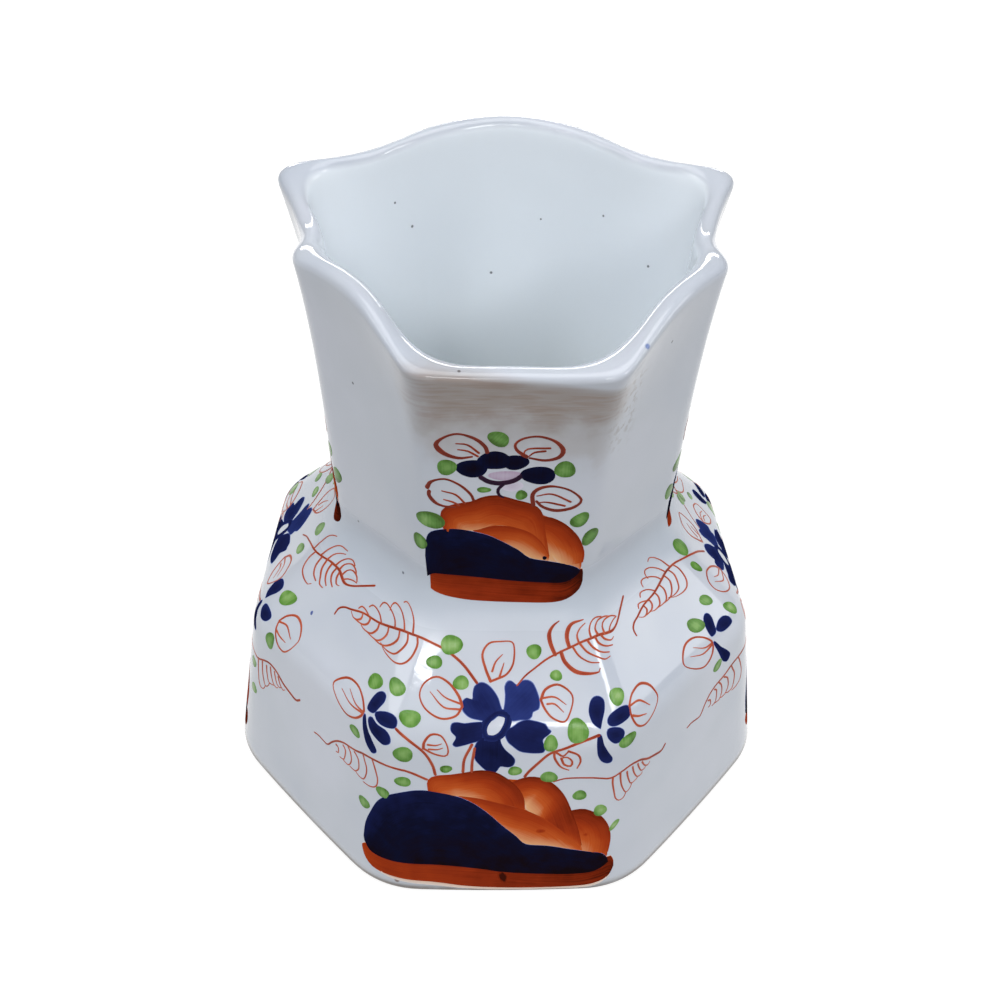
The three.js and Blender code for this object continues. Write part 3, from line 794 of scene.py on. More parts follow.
def body_mound(wash, cobalt):
    """Overlapping orange sweeps, a cobalt slope over them and a red base band."""
    brush_sweep(
        wash,
        ((-15.2, 33), (-11, 34.8), (-5, 35.8), (0, 34.4), (4, 34), (8, 33.6), (12, 29.6), (15, 24.5),
         (19, 23.6), (21.8, 20.5), (23, 16), (23.4, 11)),
        ((-15, 29), (-9, 27.5), (-5, 24.5), (-1, 20), (3, 16.5), (5.2, 14), (8, 13.4), (11, 12.8), (14, 12),
         (17, 11.6), (20, 11), (23, 9.6)),
        (0.55, 0.55, 0.55), (0.32, 0.25, 0.25, 0.32, 0.4), 0.02,
    )
    brush_sweep(
        wash,
        ((-9, 29.9), (-6, 29.2), (-3, 28.2), (0, 27.2), (4, 25.8), (8, 24), (11, 21.9), (13.5, 19.4),
         (15.5, 16.9), (17, 14.6)),
        ((-10, 28.6), (-6.5, 26.6), (-3, 23.4), (0, 20), (3, 16.8), (5.2, 14.6), (8, 14), (11, 13.6),
         (14, 12.8), (17, 12)),
        (0.6, 0.7, 0.72, 0.68, 0.62, 0.56, 0.5), (0.42, 0.36, 0.3, 0.2, 0.06, 0.08, 0.2), 0.03, fall=1.5,
    )
    brush_sweep(
        wash,
        ((14.2, 25.2), (17, 25.7), (19.5, 24.6), (21.6, 22.6), (23.2, 19.3), (23.8, 15.6), (23.5, 11.8)),
        ((14.4, 24.3), (15, 22), (15.8, 19.5), (16.6, 17), (17.1, 15.5), (17.4, 14), (17.8, 12)),
        (0.85, 0.92, 0.92, 0.88, 0.8, 0.7, 0.6), (0.8, 0.66, 0.58, 0.45, 0.36, 0.28, 0.22), 0.034,
    )
    brush_sweep(
        wash,
        ((1.4, 33.2), (3, 34.2), (5, 34.9), (7, 34.8), (9.5, 33.7), (12, 31), (13.6, 27.9), (14.6, 25),
         (15.6, 22), (16.5, 19), (17.4, 14.8)),
        ((1.6, 32.6), (3.2, 31), (4.2, 29), (4.4, 27), (4.8, 25.6), (7, 24.2), (9, 22.8), (11, 21),
         (13, 19), (15, 16.6), (16.8, 14.4)),
        (0.8, 0.9, 0.9, 0.85, 0.85, 0.8, 0.7), (0.7, 0.45, 0.08, 0.2, 0.7, 0.75, 0.55, 0.4), 0.038,
    )
    brush_sweep(
        wash,
        ((-15.8, 30.9), (-15.9, 33.7), (-14.3, 35.1), (-11, 35.5), (-8, 36.1), (-5, 36.7), (-2, 36.3),
         (0, 35), (1.7, 33.4), (3.4, 31.2), (4.4, 28.6), (4.6, 26)),
        ((-15.3, 30.6), (-13, 30), (-11, 29.6), (-9, 29.5), (-7, 29.2), (-5, 28.8), (-3, 28.2),
         (-1.5, 27.7), (0, 27.2), (1.5, 26.8), (3, 26.2), (4.4, 25.6)),
        (0.6, 0.65, 0.75, 0.9, 0.95, 0.9, 0.8, 0.65), (0.55, 0.35, 0.22, 0.25, 0.35, 0.5, 0.65, 0.6), 0.042,
    )
    brush_sweep(
        wash,
        ((-32.1, 9.4), (-31.2, 10.4), (-28, 11), (-20, 11), (-10, 10.5), (0, 9.5), (8, 8.6), (16, 8.4),
         (22, 9.6), (24.2, 10.2), (25.1, 8.2)),
        ((-32.1, 9), (-31.5, 6.6), (-29.2, 4.5), (-24, 4), (-15, 3.4), (-8, 2.3), (0, 1.8), (10, 1.7),
         (18, 2), (22, 2.8), (24.3, 4.2), (25.2, 6.8)),
        (0.68, 0.74, 0.76, 0.8, 0.84, 0.86, 0.88, 0.9), (0.5, 0.66, 0.68, 0.74, 0.78, 0.82, 0.88, 0.98),
        0.03, bleed=0.3,
    )
    brush_sweep(
        wash,
        ((-29, 4.6), (-24, 4.1), (-15, 3.5), (-8, 2.4), (0, 1.9), (10, 1.8), (18, 2.1), (22, 2.9),
         (24.4, 4.4)),
        ((-29, 4.3), (-24, 3.2), (-15, 2.3), (-8, 1.5), (0, 1.2), (10, 1.2), (18, 1.3), (22, 2), (24.6, 4)),
        (0.08, 0.1, 0.08), (0.0, 0.01, 0.0), 0.02, rows=4,
    )
    brush_sweep(
        cobalt,
        ((-31.5, 12.4), (-30.7, 17), (-28.9, 21.6), (-26.9, 25.6), (-23.9, 28.7), (-20, 30.6), (-17, 31),
         (-14, 30.5), (-10, 29.4), (-6.5, 27.5), (-3, 24.3), (0, 20.8), (3, 17.7), (5.2, 15.3), (10, 14.7),
         (15, 13.5), (19, 12.6), (22, 11.7), (23.4, 10)),
        ((-31.3, 11.2), (-30, 9.4), (-28, 8.9), (-24, 8.9), (-20, 9), (-13, 8.8), (-5, 7.8), (0, 6.8),
         (8, 6.1), (16, 5.8), (21, 6.5), (23.8, 8.6)),
        (0.52, 0.6, 0.62, 0.66, 0.68, 0.74, 0.82), (0.86, 0.88, 0.9, 0.94, 0.98), 0.05, rows=14, bleed=0.15,
    )
    dab(wash, 0.4, 5.2, 2.4, 4.2, 12, 0.84, 1.3, 0.055)
    dab(wash, 8.2, 19.3, 2.2, 1.4, 0, 0.6, 0.75, 0.046)
    dab(wash, 18, 18, 1.6, 1.2, 0, 0.55, 0.68, 0.046)


# The pattern on the neck


# Each leaf of the neck: outline, pressures of the brush along it, and veins
NECK_LEAVES = (
    (
        ((-7, 108.9), (-9.4, 108.6), (-11.9, 109.7), (-13.3, 111.7), (-12, 113.4), (-9.5, 114.3),
         (-6.6, 113.2), (-4.8, 111.4), (-4.3, 109.9)),
        (0.7, 1.3, 2.0, 0.9, 0.8, 1.3, 1.4),
        (((-9.8, 112), (-7.8, 111.7), (-5.8, 109.8)), ((-9.5, 110.6), (-7.7, 110.2), (-6, 109))),
    ),
    (
        ((2.6, 109), (0.9, 110.5), (0.6, 112), (2, 113.3), (4.6, 113.8), (7.4, 112.8), (9, 110.8),
         (8.4, 109), (6, 108.2), (3.2, 108.7)),
        (1.6, 0.9, 0.8, 1.0, 1.7, 1.1, 0.8),
        (((2, 109.2), (2.8, 110.8), (6.7, 111.1)), ((3, 109), (4, 110), (5.9, 110.4))),
    ),
    (
        ((-15.3, 101), (-14.4, 102.7), (-12, 103.6), (-9.3, 102.2), (-7.3, 100), (-6.7, 98.5)),
        (1.7, 0.8, 0.8, 1.0, 1.0),
        (((-12.5, 100.7), (-10, 99.8), (-8.3, 97.7)), ((-12.2, 98.6), (-10.5, 98), (-9.4, 97.2))),
    ),
    (((-14.9, 100.2), (-15, 99.2), (-14, 97.8), (-12.4, 97), (-10.2, 96.8)), (1.4, 1.6, 0.9, 0.8), ()),
    (
        ((4.4, 97.4), (4.2, 100), (5.5, 101.5), (8, 102), (11.2, 101), (13.3, 98.7), (12.1, 97), (9, 96.1),
         (6.3, 96.9), (5, 98.3)),
        (1.6, 1.4, 0.8, 0.8, 1.2, 1.3, 1.0),
        (((5, 99.6), (7.8, 100.1), (11.3, 98.3)), ((5.5, 98), (7, 98.1), (10.3, 97.3))),
    ),
)

NECK_DABS = (
    (-2.4, 113.1, 4.3, 3.2, -35), (-11.5, 106.4, 3.7, 3.6, 0), (9.7, 106.1, 4, 3.8, 0),
    (-4.8, 101, 2.6, 1.4, 0), (2.1, 99.8, 2.2, 2.4, 0), (-15, 92.9, 6, 4.2, 0), (-17.5, 86.4, 3.4, 4, 0),
    (13.5, 93.6, 4, 3.4, 45), (16.2, 88.5, 4.4, 3.4, 45),
)

# The dark touches of the neck's flower
NECK_TOUCHES = (
    (-7, 106.1, 6, 4, 0), (-3, 108, 6, 4.4, 0), (0.8, 107.6, 4.6, 3.6, 0), (5, 104.6, 6.2, 4.4, 0)
)


def neck_leaves(red):
    for outline_points, pressure, veins in NECK_LEAVES:
        brush_line(red, outline_points, 0.55, pressure, 1.1)
        for vein in veins:
            brush_line(red, vein, 0.42, (0.6, 1.0, 1.1), 0.9)


def neck_flower(cobalt, purple):
    """Four dark touches over a washed purple centre with a curled stem."""
    dab(purple, -0.8, 104.4, 6.2, 2.4, 0, 0.15, 0.1, 0.02)
    dab(purple, 0.2, 102, 4.5, 2.6, 0, 0.02, 0.06, 0.015)
    cup = ((-5.4, 104), (-4, 103), (-2, 102.6), (0.5, 103.2), (2.4, 104.8))
    stem = ((-1.2, 102.4), (-2.2, 101.1), (-2, 99.8), (-1.2, 99.2))
    brush_line(purple, cup, 1.1, (0.9, 1, 0.9), 0.9)
    brush_line(purple, stem, 0.65, (1, 1, 0.7), 0.95)
    for touch in NECK_TOUCHES:
        dab(cobalt, *touch, load_edge=0.74, load_centre=0.84, proud=0.05)


def neck_mound(wash, cobalt):
    brush_sweep(
        wash,
        ((-11.5, 94), (-9, 97), (-4, 98.4), (1, 97.8), (5, 95.6), (9, 93.6), (12, 90.8), (13.8, 88),
         (14.8, 84), (14.9, 81)),
        ((-11, 90.6), (-7.5, 90), (-4, 89), (-1, 87.4), (2.2, 85), (4.4, 83), (8, 82.4), (11, 81.6),
         (13.4, 80.6), (14.6, 79.8)),
        (0.5, 0.5, 0.5), (0.15, 0.05, 0.05, 0.08, 0.2), 0.02,
    )
    brush_sweep(
        wash,
        ((-7, 91.2), (-3, 92.2), (1, 91.9), (4, 90.7), (6, 88.9), (7.5, 86.5), (8.2, 84.6)),
        ((-6, 90), (-3.5, 88.8), (-1, 87.4), (2.2, 85), (4.4, 83), (6.5, 82.6), (8, 82.3)),
        (0.7, 0.75, 0.75, 0.7, 0.65), (0.55, 0.4, 0.15, 0.05, 0.02), 0.03,
    )
    brush_sweep(
        wash,
        ((6, 94.6), (7.9, 94.4), (10.5, 93), (12.8, 90.5), (14.2, 88), (15.3, 84.5), (15.2, 82)),
        ((6.3, 93.4), (6.8, 91), (7.3, 88.5), (7.9, 86.5), (8.5, 85), (9.5, 83.2), (10.5, 82)),
        (0.85, 0.9, 0.9, 0.8, 0.6), (0.7, 0.5, 0.3, 0.12, 0.05), 0.034,
    )
    brush_sweep(
        wash,
        ((-12.2, 90.6), (-12.9, 93.2), (-12.7, 95.8), (-11.3, 97.1), (-9, 97.8), (-7, 98.2), (-5, 99.3),
         (-2, 99.7), (1, 98.7), (4.1, 97.7), (5.6, 96.6), (6.4, 95), (6.8, 93), (7.1, 90.5), (7.6, 88),
         (8.1, 85)),
        ((-11.6, 90.6), (-10, 91), (-8, 91), (-6, 91.1), (-4, 91.9), (-2, 92.3), (0, 92.1), (2, 91.5),
         (4, 90.6), (5.6, 89.2), (6.8, 87.6), (7.8, 85.4)),
        (0.7, 0.8, 0.85, 0.9, 0.9, 0.8, 0.7, 0.6), (0.45, 0.2, 0.3, 0.44, 0.46, 0.5, 0.5), 0.038,
    )
    brush_sweep(
        wash,
        ((-15.5, 80), (-14.5, 80), (-10, 80), (-5, 79.5), (0, 79), (6, 78.6), (11, 78.4), (13.3, 79.4),
         (15, 80.5), (15.5, 79)),
        ((-15.4, 74.8), (-14, 74.2), (-8.2, 73), (-3, 72.6), (3, 72.4), (9, 72.4), (12.5, 73.2), (15, 75),
         (15.6, 77)),
        (0.8, 0.86, 0.88, 0.9, 0.94, 1.05), (0.66, 0.75, 0.8, 0.88, 1.02), 0.03, bleed=0.25,
    )
    brush_sweep(
        cobalt,
        ((-16.4, 83), (-16, 87.5), (-15, 89.8), (-13, 90.9), (-10.4, 91.3), (-7.5, 90.8), (-4, 89.7),
         (-1, 88), (2.2, 85.8), (4.4, 83.8), (8, 83), (11.5, 82.2), (13.8, 81), (14.7, 80)),
        ((-16.1, 77.6), (-14.5, 79), (-12, 79.2), (-10, 79.1), (-5, 78.5), (0, 77.8), (6, 77.3), (11, 77.2),
         (13.3, 78), (14.6, 79.4)),
        (0.68, 0.72, 0.74, 0.76, 0.78), (0.85, 0.84, 0.86, 0.9), 0.05, rows=12, bleed=0.15,
    )
    dab(cobalt, 7.3, 83.9, 0.9, 1.0, 0, 0.8, 0.9, 0.06)


# Middles of the motifs, across and up
MOTIFS = {
    "flower": (0.5, 49.6), "left_flower": (-28.4, 46.7), "right_flower": (23.2, 45.9), "mound": (-4, 22),
    "upper_left_fern": (-24.6, 61.5), "upper_right_fern": (15.7, 62.7), "lower_left_fern": (-37.2, 31),
    "lower_right_fern": (30.3, 31.8), "dabs": (0, 45), "neck": (0, 95),
}

MOTIFS.update({name: tuple(np.mean(edge, axis=0)) for name, (edge, veins) in LOOP_LEAVES.items()})

# How the painter set them by eye on each panel: across, up, tilt, and how wide and tall
PLACES = {
    FRONT_TURN: {},
    RIGHT_TURN: {
        "flower": (-4.5, 1.5, 0, 1, 1), "left_flower": (-4.9, 0.9, -3, 1, 1.05),
        "right_flower": (-4.5, 2, 0, 1, 1), "upper_left_fern": (-4.3, 1.8, 1, 0.93, 0.95),
        "upper_right_fern": (-4.5, 2, 0, 1, 1), "lower_left_fern": (-2.1, 0.5, -6, 1.08, 1.08),
        "mound": (4.5, 1, 0, 1, 1), "neck": (-0.6, -1.2, 0, 1, 1),
    },
    BACK_TURN: {"flower": (0.8, 0.5, 5, 1, 1), "mound": (-0.6, 0.3, 0, 1, 1), "neck": (0.5, 0, 0, 1, 1)},
    LEFT_TURN: {
        "flower": (-2.3, 2.5, 27, 1.05, 1.05), "flower_top_leaf": (1.5, 5, 10, 1, 1),
        "flower_right_leaf": (3.8, 0.6, 0, 1.1, 1.1), "right_flower": (2.2, 2.2, 5, 1.15, 0.95),
        "right_flower_leaf": (2.6, 0.3, 25, 0.75, 1.25), "upper_right_fern": (6, 1.9, -9, 1.02, 1.05),
        "lower_right_fern": (5.5, 0.8, 6, 1, 1.1), "left_flower": (4, 1, 0, 1, 1),
        "upper_left_fern": (4, 1, 0, 1, 1), "lower_left_fern": (2, 1, 0, 1, 1), "mound": (1, 1, 0, 1, 1),
        "neck": (1.3, -0.2, 0, 1, 1),
    },
}


# The fronds that the painter thickened, at the foot of the front panel's upper right fern
THICK_FRONDS = (0, 1, 7)


def painted_panel(turn):
    """The flat shapes of one panel, body and neck, in a sheet for each pigment."""
    sheets = {name: Paint() for name in ("cobalt", "wash", "red", "green", "purple")}
    cobalt, wash, red, green, purple = sheets.values()

    def begin(motif):
        for sheet in sheets.values():
            sheet.centre, sheet.place = MOTIFS[motif], PLACES[turn].get(motif, STRAIGHT)

    def leaves_of(flower):
        for name, points in LOOP_LEAVES.items():
            if name.startswith(flower + "_"):
                begin(name if name in PLACES[turn] else flower)
                leaf(red, *points)

    begin("flower")
    main_flower(cobalt)
    leaves_of("flower")
    begin("left_flower")
    small_flower(cobalt, LEFT_TOUCHES[:2] + LEFT_TOUCHES[3:] if turn == RIGHT_TURN else LEFT_TOUCHES)
    leaves_of("left_flower")
    begin("right_flower")
    small_flower(cobalt, RIGHT_TOUCHES[:1] + RIGHT_TOUCHES[2:] if turn == LEFT_TURN else RIGHT_TOUCHES)
    bud(red)
    leaves_of("right_flower")
    for motif, (spine, fronds) in FERNS.items():
        begin(motif)
        fern(red, spine, fronds, THICK_FRONDS if (motif, turn) == ("upper_right_fern", FRONT_TURN) else ())
    begin("mound")
    body_mound(wash, cobalt)
    stems(red)
    begin("dabs")
    for touch in {LEFT_TURN: LEFT_DABS, RIGHT_TURN: RIGHT_DABS}.get(turn, BODY_DABS):
        dab(green, *touch)
    begin("neck")
    neck_mound(wash, cobalt)
    neck_leaves(red)
    neck_flower(cobalt, purple)
    for touch in NECK_DABS:
        dab(green, *touch, load_edge=0.78, load_centre=0.5)
    if turn == LEFT_TURN:
        begin("dabs")
        dab(cobalt, 32.2, 54.5, 1.4, 0.5, -45, 0.2, 0.3)
    return sheets


def painted_piece(name, panels, pigment_name, material):
    """Lays one pigment's flat shapes on all four painted panels."""
    points, faces, loads, strokes = [], [], [], []
    for turn, sheets in panels.items():
        paint = sheets[pigment_name]
        start = sum(len(group) for group in points)
        points.append(laid(turn, paint.points))
        faces += [tuple(start + i for i in face) for face in paint.faces]
        loads += paint.loads
        strokes += paint.strokes
    piece = new_piece(name, np.concatenate(points), faces, material)
    piece.data.set_sharp_from_angle(angle=CREASE)
    add_value(piece, "load", loads)
    for place, values in zip(("along", "across"), zip(*strokes)):
        add_value(piece, place, values)


# Each pigment's shades from thin to heavily loaded, then its roughness, the strength of its brush
# marks and of its pooling, and how much it shines
PIGMENTS = {
    "cobalt_under_glaze": (
        ((0, "#ccd5e8"), (0.12, "#6f7fb4"), (0.3, "#2a3774"), (0.5, "#1a214f"), (0.75, "#11132b"),
         (0.95, "#160d11")),
        0.12, 0.05, 0.1, 0.0,
    ),
    "orange_iron_wash": (
        ((0, "#dcd2cc"), (0.15, "#dda678"), (0.4, "#bf5626"), (0.6, "#a33b18"), (0.75, "#8c3016"),
         (0.88, "#74250f"), (1, "#3d140c")),
        0.2, 0.11, 0.06, 0.0,
    ),
    "iron_red_line": (
        ((0, "#dcb09e"), (0.4, "#b65a3e"), (0.7, "#953b26"), (0.95, "#6f281b")), 0.3, 0.2, 0.25, 0.1
    ),
    "copper_green_enamel": (
        ((0, "#aec296"), (0.35, "#7ba25a"), (0.6, "#5c8b3d"), (0.9, "#40651f")), 0.15, 0.16, 0.5, 0.15
    ),
    "purple_wash": (
        ((0, "#d2cfde"), (0.15, "#b09db5"), (0.45, "#3f1f38"), (0.9, "#200f26")), 0.2, 0.15, 0.2, 0.05
    ),
}

# Piece, its sheet, its pigment and its slot
PAINTED = (
    ("cobalt_painting", "cobalt", "cobalt_under_glaze", "cobalt_painting"),
    ("orange_washes", "wash", "orange_iron_wash", "enamel_painting"),
    ("red_linework", "red", "iron_red_line", "enamel_painting"),
    ("green_dabs", "green", "copper_green_enamel", "enamel_painting"),
    ("purple_touches", "purple", "purple_wash", "enamel_painting"),
)


def painting():
    panels = {turn: painted_panel(turn) for turn in PLACES}
    for name, sheet, colour, slot in PAINTED:
        painted_piece(name, panels, sheet, pigment(colour, *PIGMENTS[colour]))


# Materials


def linear(hex_colour):
    """A colour written as sRGB hex, as the shader wants it."""
    channels = [int(hex_colour[i : i + 2], 16) / 255 for i in (1, 3, 5)]
    return [c / 12.92 if c <= 0.04045 else ((c + 0.055) / 1.055) ** 2.4 for c in channels] + [1.0]


def node(tree, kind, settings=None, links=None):
    """Adds a node. Settings go to its sockets, by name or number, or else to its attributes."""
    made = tree.nodes.new(kind)
    for name, value in (settings or {}).items():
        if name == "stops":
            ramp = made.color_ramp
            while len(ramp.elements) < len(value):
                ramp.elements.new(1.0)
            for element, (position, hex_colour) in zip(ramp.elements, value):
                element.position = position
                element.color = linear(hex_colour)
        elif isinstance(name, int) or name in made.inputs:
            made.inputs[name].default_value = value
        else:
            setattr(made, name, value)
    for name, source in (links or {}).items():
        tree.links.new(source, made.inputs[name])
    return made


def new_material(name, **settings):
    """A material with its plain shader settings, and its node tree and shader."""
    material = bpy.data.materials.new(name)
    material.use_nodes = True
    surface = material.node_tree.nodes["Principled BSDF"]
    for setting, value in settings.items():
        surface.inputs[setting.replace("_", " ")].default_value = value
    return material, material.node_tree, surface


def stained(tree, under, hex_colour, amount):
    """One colour laid over another where a mask says."""
    return node(
        tree, "ShaderNodeMix", {"data_type": "RGBA", 7: linear(hex_colour)}, {0: amount, 6: under}
    ).outputs[2]


def where(tree, *conditions):
    """A mask of 1 where all the conditions hold.

    Each is a mask, or a value that comes in softly from its first limit to its second, up to a
    most if one is given.
    """
    mask = None
    for condition in conditions:
        if isinstance(condition, tuple):
            value, start, full, most = (*condition, 1.0)[:4]
            condition = node(
                tree, "ShaderNodeMapRange",
                {"interpolation_type": "SMOOTHSTEP", "From Min": start, "From Max": full, "To Max": most},
                {"Value": value},
            ).outputs[0]
        if mask is not None:
            condition = node(
                tree, "ShaderNodeMath", {"operation": "MULTIPLY"}, {0: mask, 1: condition}
            ).outputs[0]
        mask = condition
    return mask


def waves(tree, place, size_mm, detail=2.0, stretch=None):
    """Soft noise whose waves are a given size in millimetres."""
    if stretch:
        place = node(
            tree, "ShaderNodeVectorMath", {"operation": "MULTIPLY", 1: stretch}, {0: place}
        ).outputs[0]
    settings = {"Scale": 1000 / size_mm, "Detail": detail}
    return node(tree, "ShaderNodeTexNoise", settings, {"Vector": place}).outputs[0]


SPECK_COLOUR = "#4b4f58"

# Kiln specks and stray colour that stand out: where each is, its width and its colour
SPOTS = (
    ((21.5, -36.8, 121.9), 1.3, "#5b74b0"), ((-9.1, -40.5, 119.1), 0.8, "#55504e"),
    ((-21.2, -32, 65.9), 0.9, "#3c4258"), ((-31.2, -21.6, 70.8), 0.8, "#3f4048"),
    ((-23.3, -65.7, 2.9), 1.6, "#6b4a34"),
    *((place, width, SPECK_COLOUR) for place, width in (
        ((-24.2, 25.2, 121.2), 0.7), ((-20.9, 27.6, 115.1), 0.9), ((-3.1, 33.6, 101.7), 0.9),
        ((8, 33, 115.1), 0.6), ((21.3, 26.8, 118.5), 0.7), ((31.4, 20.1, 110), 0.8),
        ((-29, -23.9, 106.3), 0.8), ((27.6, -27.7, 117.8), 0.8),
    )),
)


def lead_glaze():
    """Bluish lead glaze over white earthenware, glossy and a little wavy from dipping.

    It gives deep soft tones, painted lighter and greener inside as painted light and bluer in the throat,
    a few dark kiln specks, a brown handling stain under the lip, and a darker foot where it is thin,
    darkened further as painted shadow where the foot meets the floor.
    """
    material, tree, surface = new_material("bluish_lead_glaze", Roughness=0.1, IOR=1.45)
    place = node(tree, "ShaderNodeTexCoord").outputs["Object"]
    inside = node(tree, "ShaderNodeAttribute", {"attribute_name": "inside"}).outputs["Fac"]
    outside = node(tree, "ShaderNodeMath", {"operation": "SUBTRACT", 0: 1.0}, {1: inside}).outputs[0]
    axes = node(tree, "ShaderNodeSeparateXYZ", links={0: place})
    x, y, z = axes.outputs[0], axes.outputs[1], axes.outputs[2]

    def leaning(slope, value=z):
        """A height that leans up to the right."""
        return node(
            tree, "ShaderNodeMath", {"operation": "MULTIPLY_ADD", 1: slope}, {0: x, 2: value}
        ).outputs[0]

    # Slow changes of tone, about 28 mm across, as the glaze lies thicker or thinner
    tones = {"stops": ((0.3, "#b8bfcb"), (0.5, "#bfc5cf"), (0.7, "#c4c9d4"))}
    colour = node(tree, "ShaderNodeValToRGB", tones, {0: waves(tree, place, 28)}).outputs[0]

    # Inside it is painted lighter than outside, and lighter and greener still towards the floor: painted
    # light, standing in for the light that bounces round inside the jug
    colour = stained(tree, colour, "#ecf3fa", where(tree, (inside, 0.75, 1.0)))
    colour = stained(tree, colour, "#f6fbf9", where(tree, inside, (z, 0.115, 0.02, 0.75)))

    # In the throat outside it pools bluer
    throat = where(tree, outside, (z, 0.056, 0.063, 0.5), (z, 0.074, 0.066))
    colour = stained(tree, colour, "#b4bfcc", throat)

    # A brown stain under the front lip, where years of pouring ran. It is strongest in the
    # middle, lies lower on the right, ends raggedly and has level streaks half a millimetre high
    uneven = {"operation": "MULTIPLY_ADD", 1: 0.014, 2: -0.007}
    ragged = node(tree, "ShaderNodeMath", uneven, {0: waves(tree, place, 6, 4)}).outputs[0]
    height = node(tree, "ShaderNodeMath", {"operation": "ADD"}, {0: leaning(0.05), 1: ragged}).outputs[0]
    front = where(
        tree, outside, (y, -0.034, -0.038), (x, -0.0225, -0.011), (x, 0.0225, 0.014),
        (leaning(0.13), 0.1190, 0.1166),
    )
    patches = node(
        tree, "ShaderNodeMapRange", {"From Min": 0.3, "From Max": 0.7, "To Min": 0.7},
        {"Value": waves(tree, place, 10)},
    ).outputs[0]
    stain = where(tree, front, patches, (height, 0.1038, 0.1115))
    colour = stained(tree, colour, "#897d75", stain)
    colour = stained(tree, colour, "#a29a96", where(tree, front, (height, 0.096, 0.104, 0.5)))
    low_streaks = waves(tree, place, 8, 4, (1.0, 1.0, 9.0))
    browner = where(tree, stain, (low_streaks, 0.42, 0.62, 0.45), (z, 0.107, 0.11))
    colour = stained(tree, colour, "#8a7061", browner)
    fine_streaks = waves(tree, place, 6, 4, (1.0, 1.0, 16.0))
    colour = stained(tree, colour, "#b9b4b2", where(tree, stain, (fine_streaks, 0.55, 0.7, 0.25)))

    # Scuffs on the arris to its right
    scuffs = where(
        tree, outside, (y, -0.03, -0.034), (x, 0.0155, 0.0185), (x, 0.024, 0.021), (z, 0.096, 0.106),
        (z, 0.118, 0.115), (waves(tree, place, 1.4, 3), 0.5, 0.64, 0.5),
    )
    colour = stained(tree, colour, "#8f8682", scuffs)

    # At the foot it is darker: the clay shows through where the glaze has run thin, and the band is darkened
    # further as painted shadow where the foot meets the floor
    thin = where(tree, outside, (z, 0.0023, 0.0014), (waves(tree, place, 9, 3), 0.15, 0.5))
    colour = stained(tree, colour, "#857c77", thin)

    # Dark kiln specks under half a millimetre across, some 15 mm apart
    cells = node(tree, "ShaderNodeTexVoronoi", {"Scale": 1000 / 15}, {"Vector": place})
    chosen = node(tree, "ShaderNodeSeparateColor", links={0: cells.outputs["Color"]}).outputs[0]
    speck = where(tree, (cells.outputs["Distance"], 0.03, 0.014, 0.7), (chosen, 0.84, 0.86))
    colour = stained(tree, colour, SPECK_COLOUR, speck)

    # The larger ones, one by one
    for spot, width, shade in SPOTS:
        middle = {"operation": "DISTANCE", 1: [size * MM for size in spot]}
        distance = node(tree, "ShaderNodeVectorMath", middle, {0: place}).outputs["Value"]
        at_spot = where(tree, (distance, width / 2 * MM, width / 5 * MM, 0.85))
        colour = stained(tree, colour, shade, at_spot)
    tree.links.new(colour, surface.inputs["Base Color"])

    # Glossy, and duller where it pools in the throat
    gloss = node(
        tree, "ShaderNodeMapRange", {"To Min": 0.05, "To Max": 0.09}, {"Value": waves(tree, place, 20)}
    ).outputs[0]
    dull = where(tree, outside, (z, 0.0555, 0.0612, 0.3), (z, 0.074, 0.070))
    roughness = node(tree, "ShaderNodeMath", {"operation": "ADD"}, {0: gloss, 1: dull}).outputs[0]
    tree.links.new(roughness, surface.inputs["Roughness"])

    # The dipped surface: waves 16 mm long, and a fine orange peel of 1.6 mm
    dipped = node(
        tree, "ShaderNodeBump", {"Strength": 0.18, "Distance": 0.0012}, {"Height": waves(tree, place, 16)}
    )
    peel = node(
        tree, "ShaderNodeBump", {"Strength": 0.12, "Distance": 0.0001},
        {"Height": waves(tree, place, 1.6), "Normal": dipped.outputs[0]},
    )
    tree.links.new(peel.outputs[0], surface.inputs["Normal"])
    return material


def bare_earthenware():
    """Unglazed buff clay, dull and gritty, its tones darkened all over as painted shadow where the foot
    meets the floor.
    """
    material, tree, surface = new_material("bare_buff_earthenware", Roughness=0.8)
    place = node(tree, "ShaderNodeTexCoord").outputs["Object"]
    # The clay's tones, darkened as painted shadow for the foot's contact with the floor
    tones = {"stops": ((0.3, "#6c6158"), (0.5, "#8b7e71"), (0.7, "#a89c8d"))}
    colour = node(tree, "ShaderNodeValToRGB", tones, {0: waves(tree, place, 6, 4)}).outputs[0]

    # Grit of 0.6 mm, drawn coarser than the real grog so that it shows
    grit = waves(tree, place, 0.6, 2)
    colour = stained(tree, colour, "#7d6a55", where(tree, (grit, 0.6, 0.72, 0.7)))
    tree.links.new(colour, surface.inputs["Base Color"])
    bump = node(tree, "ShaderNodeBump", {"Strength": 0.5, "Distance": 0.0001}, {"Height": grit})
    tree.links.new(bump.outputs[0], surface.inputs["Normal"])
    return material


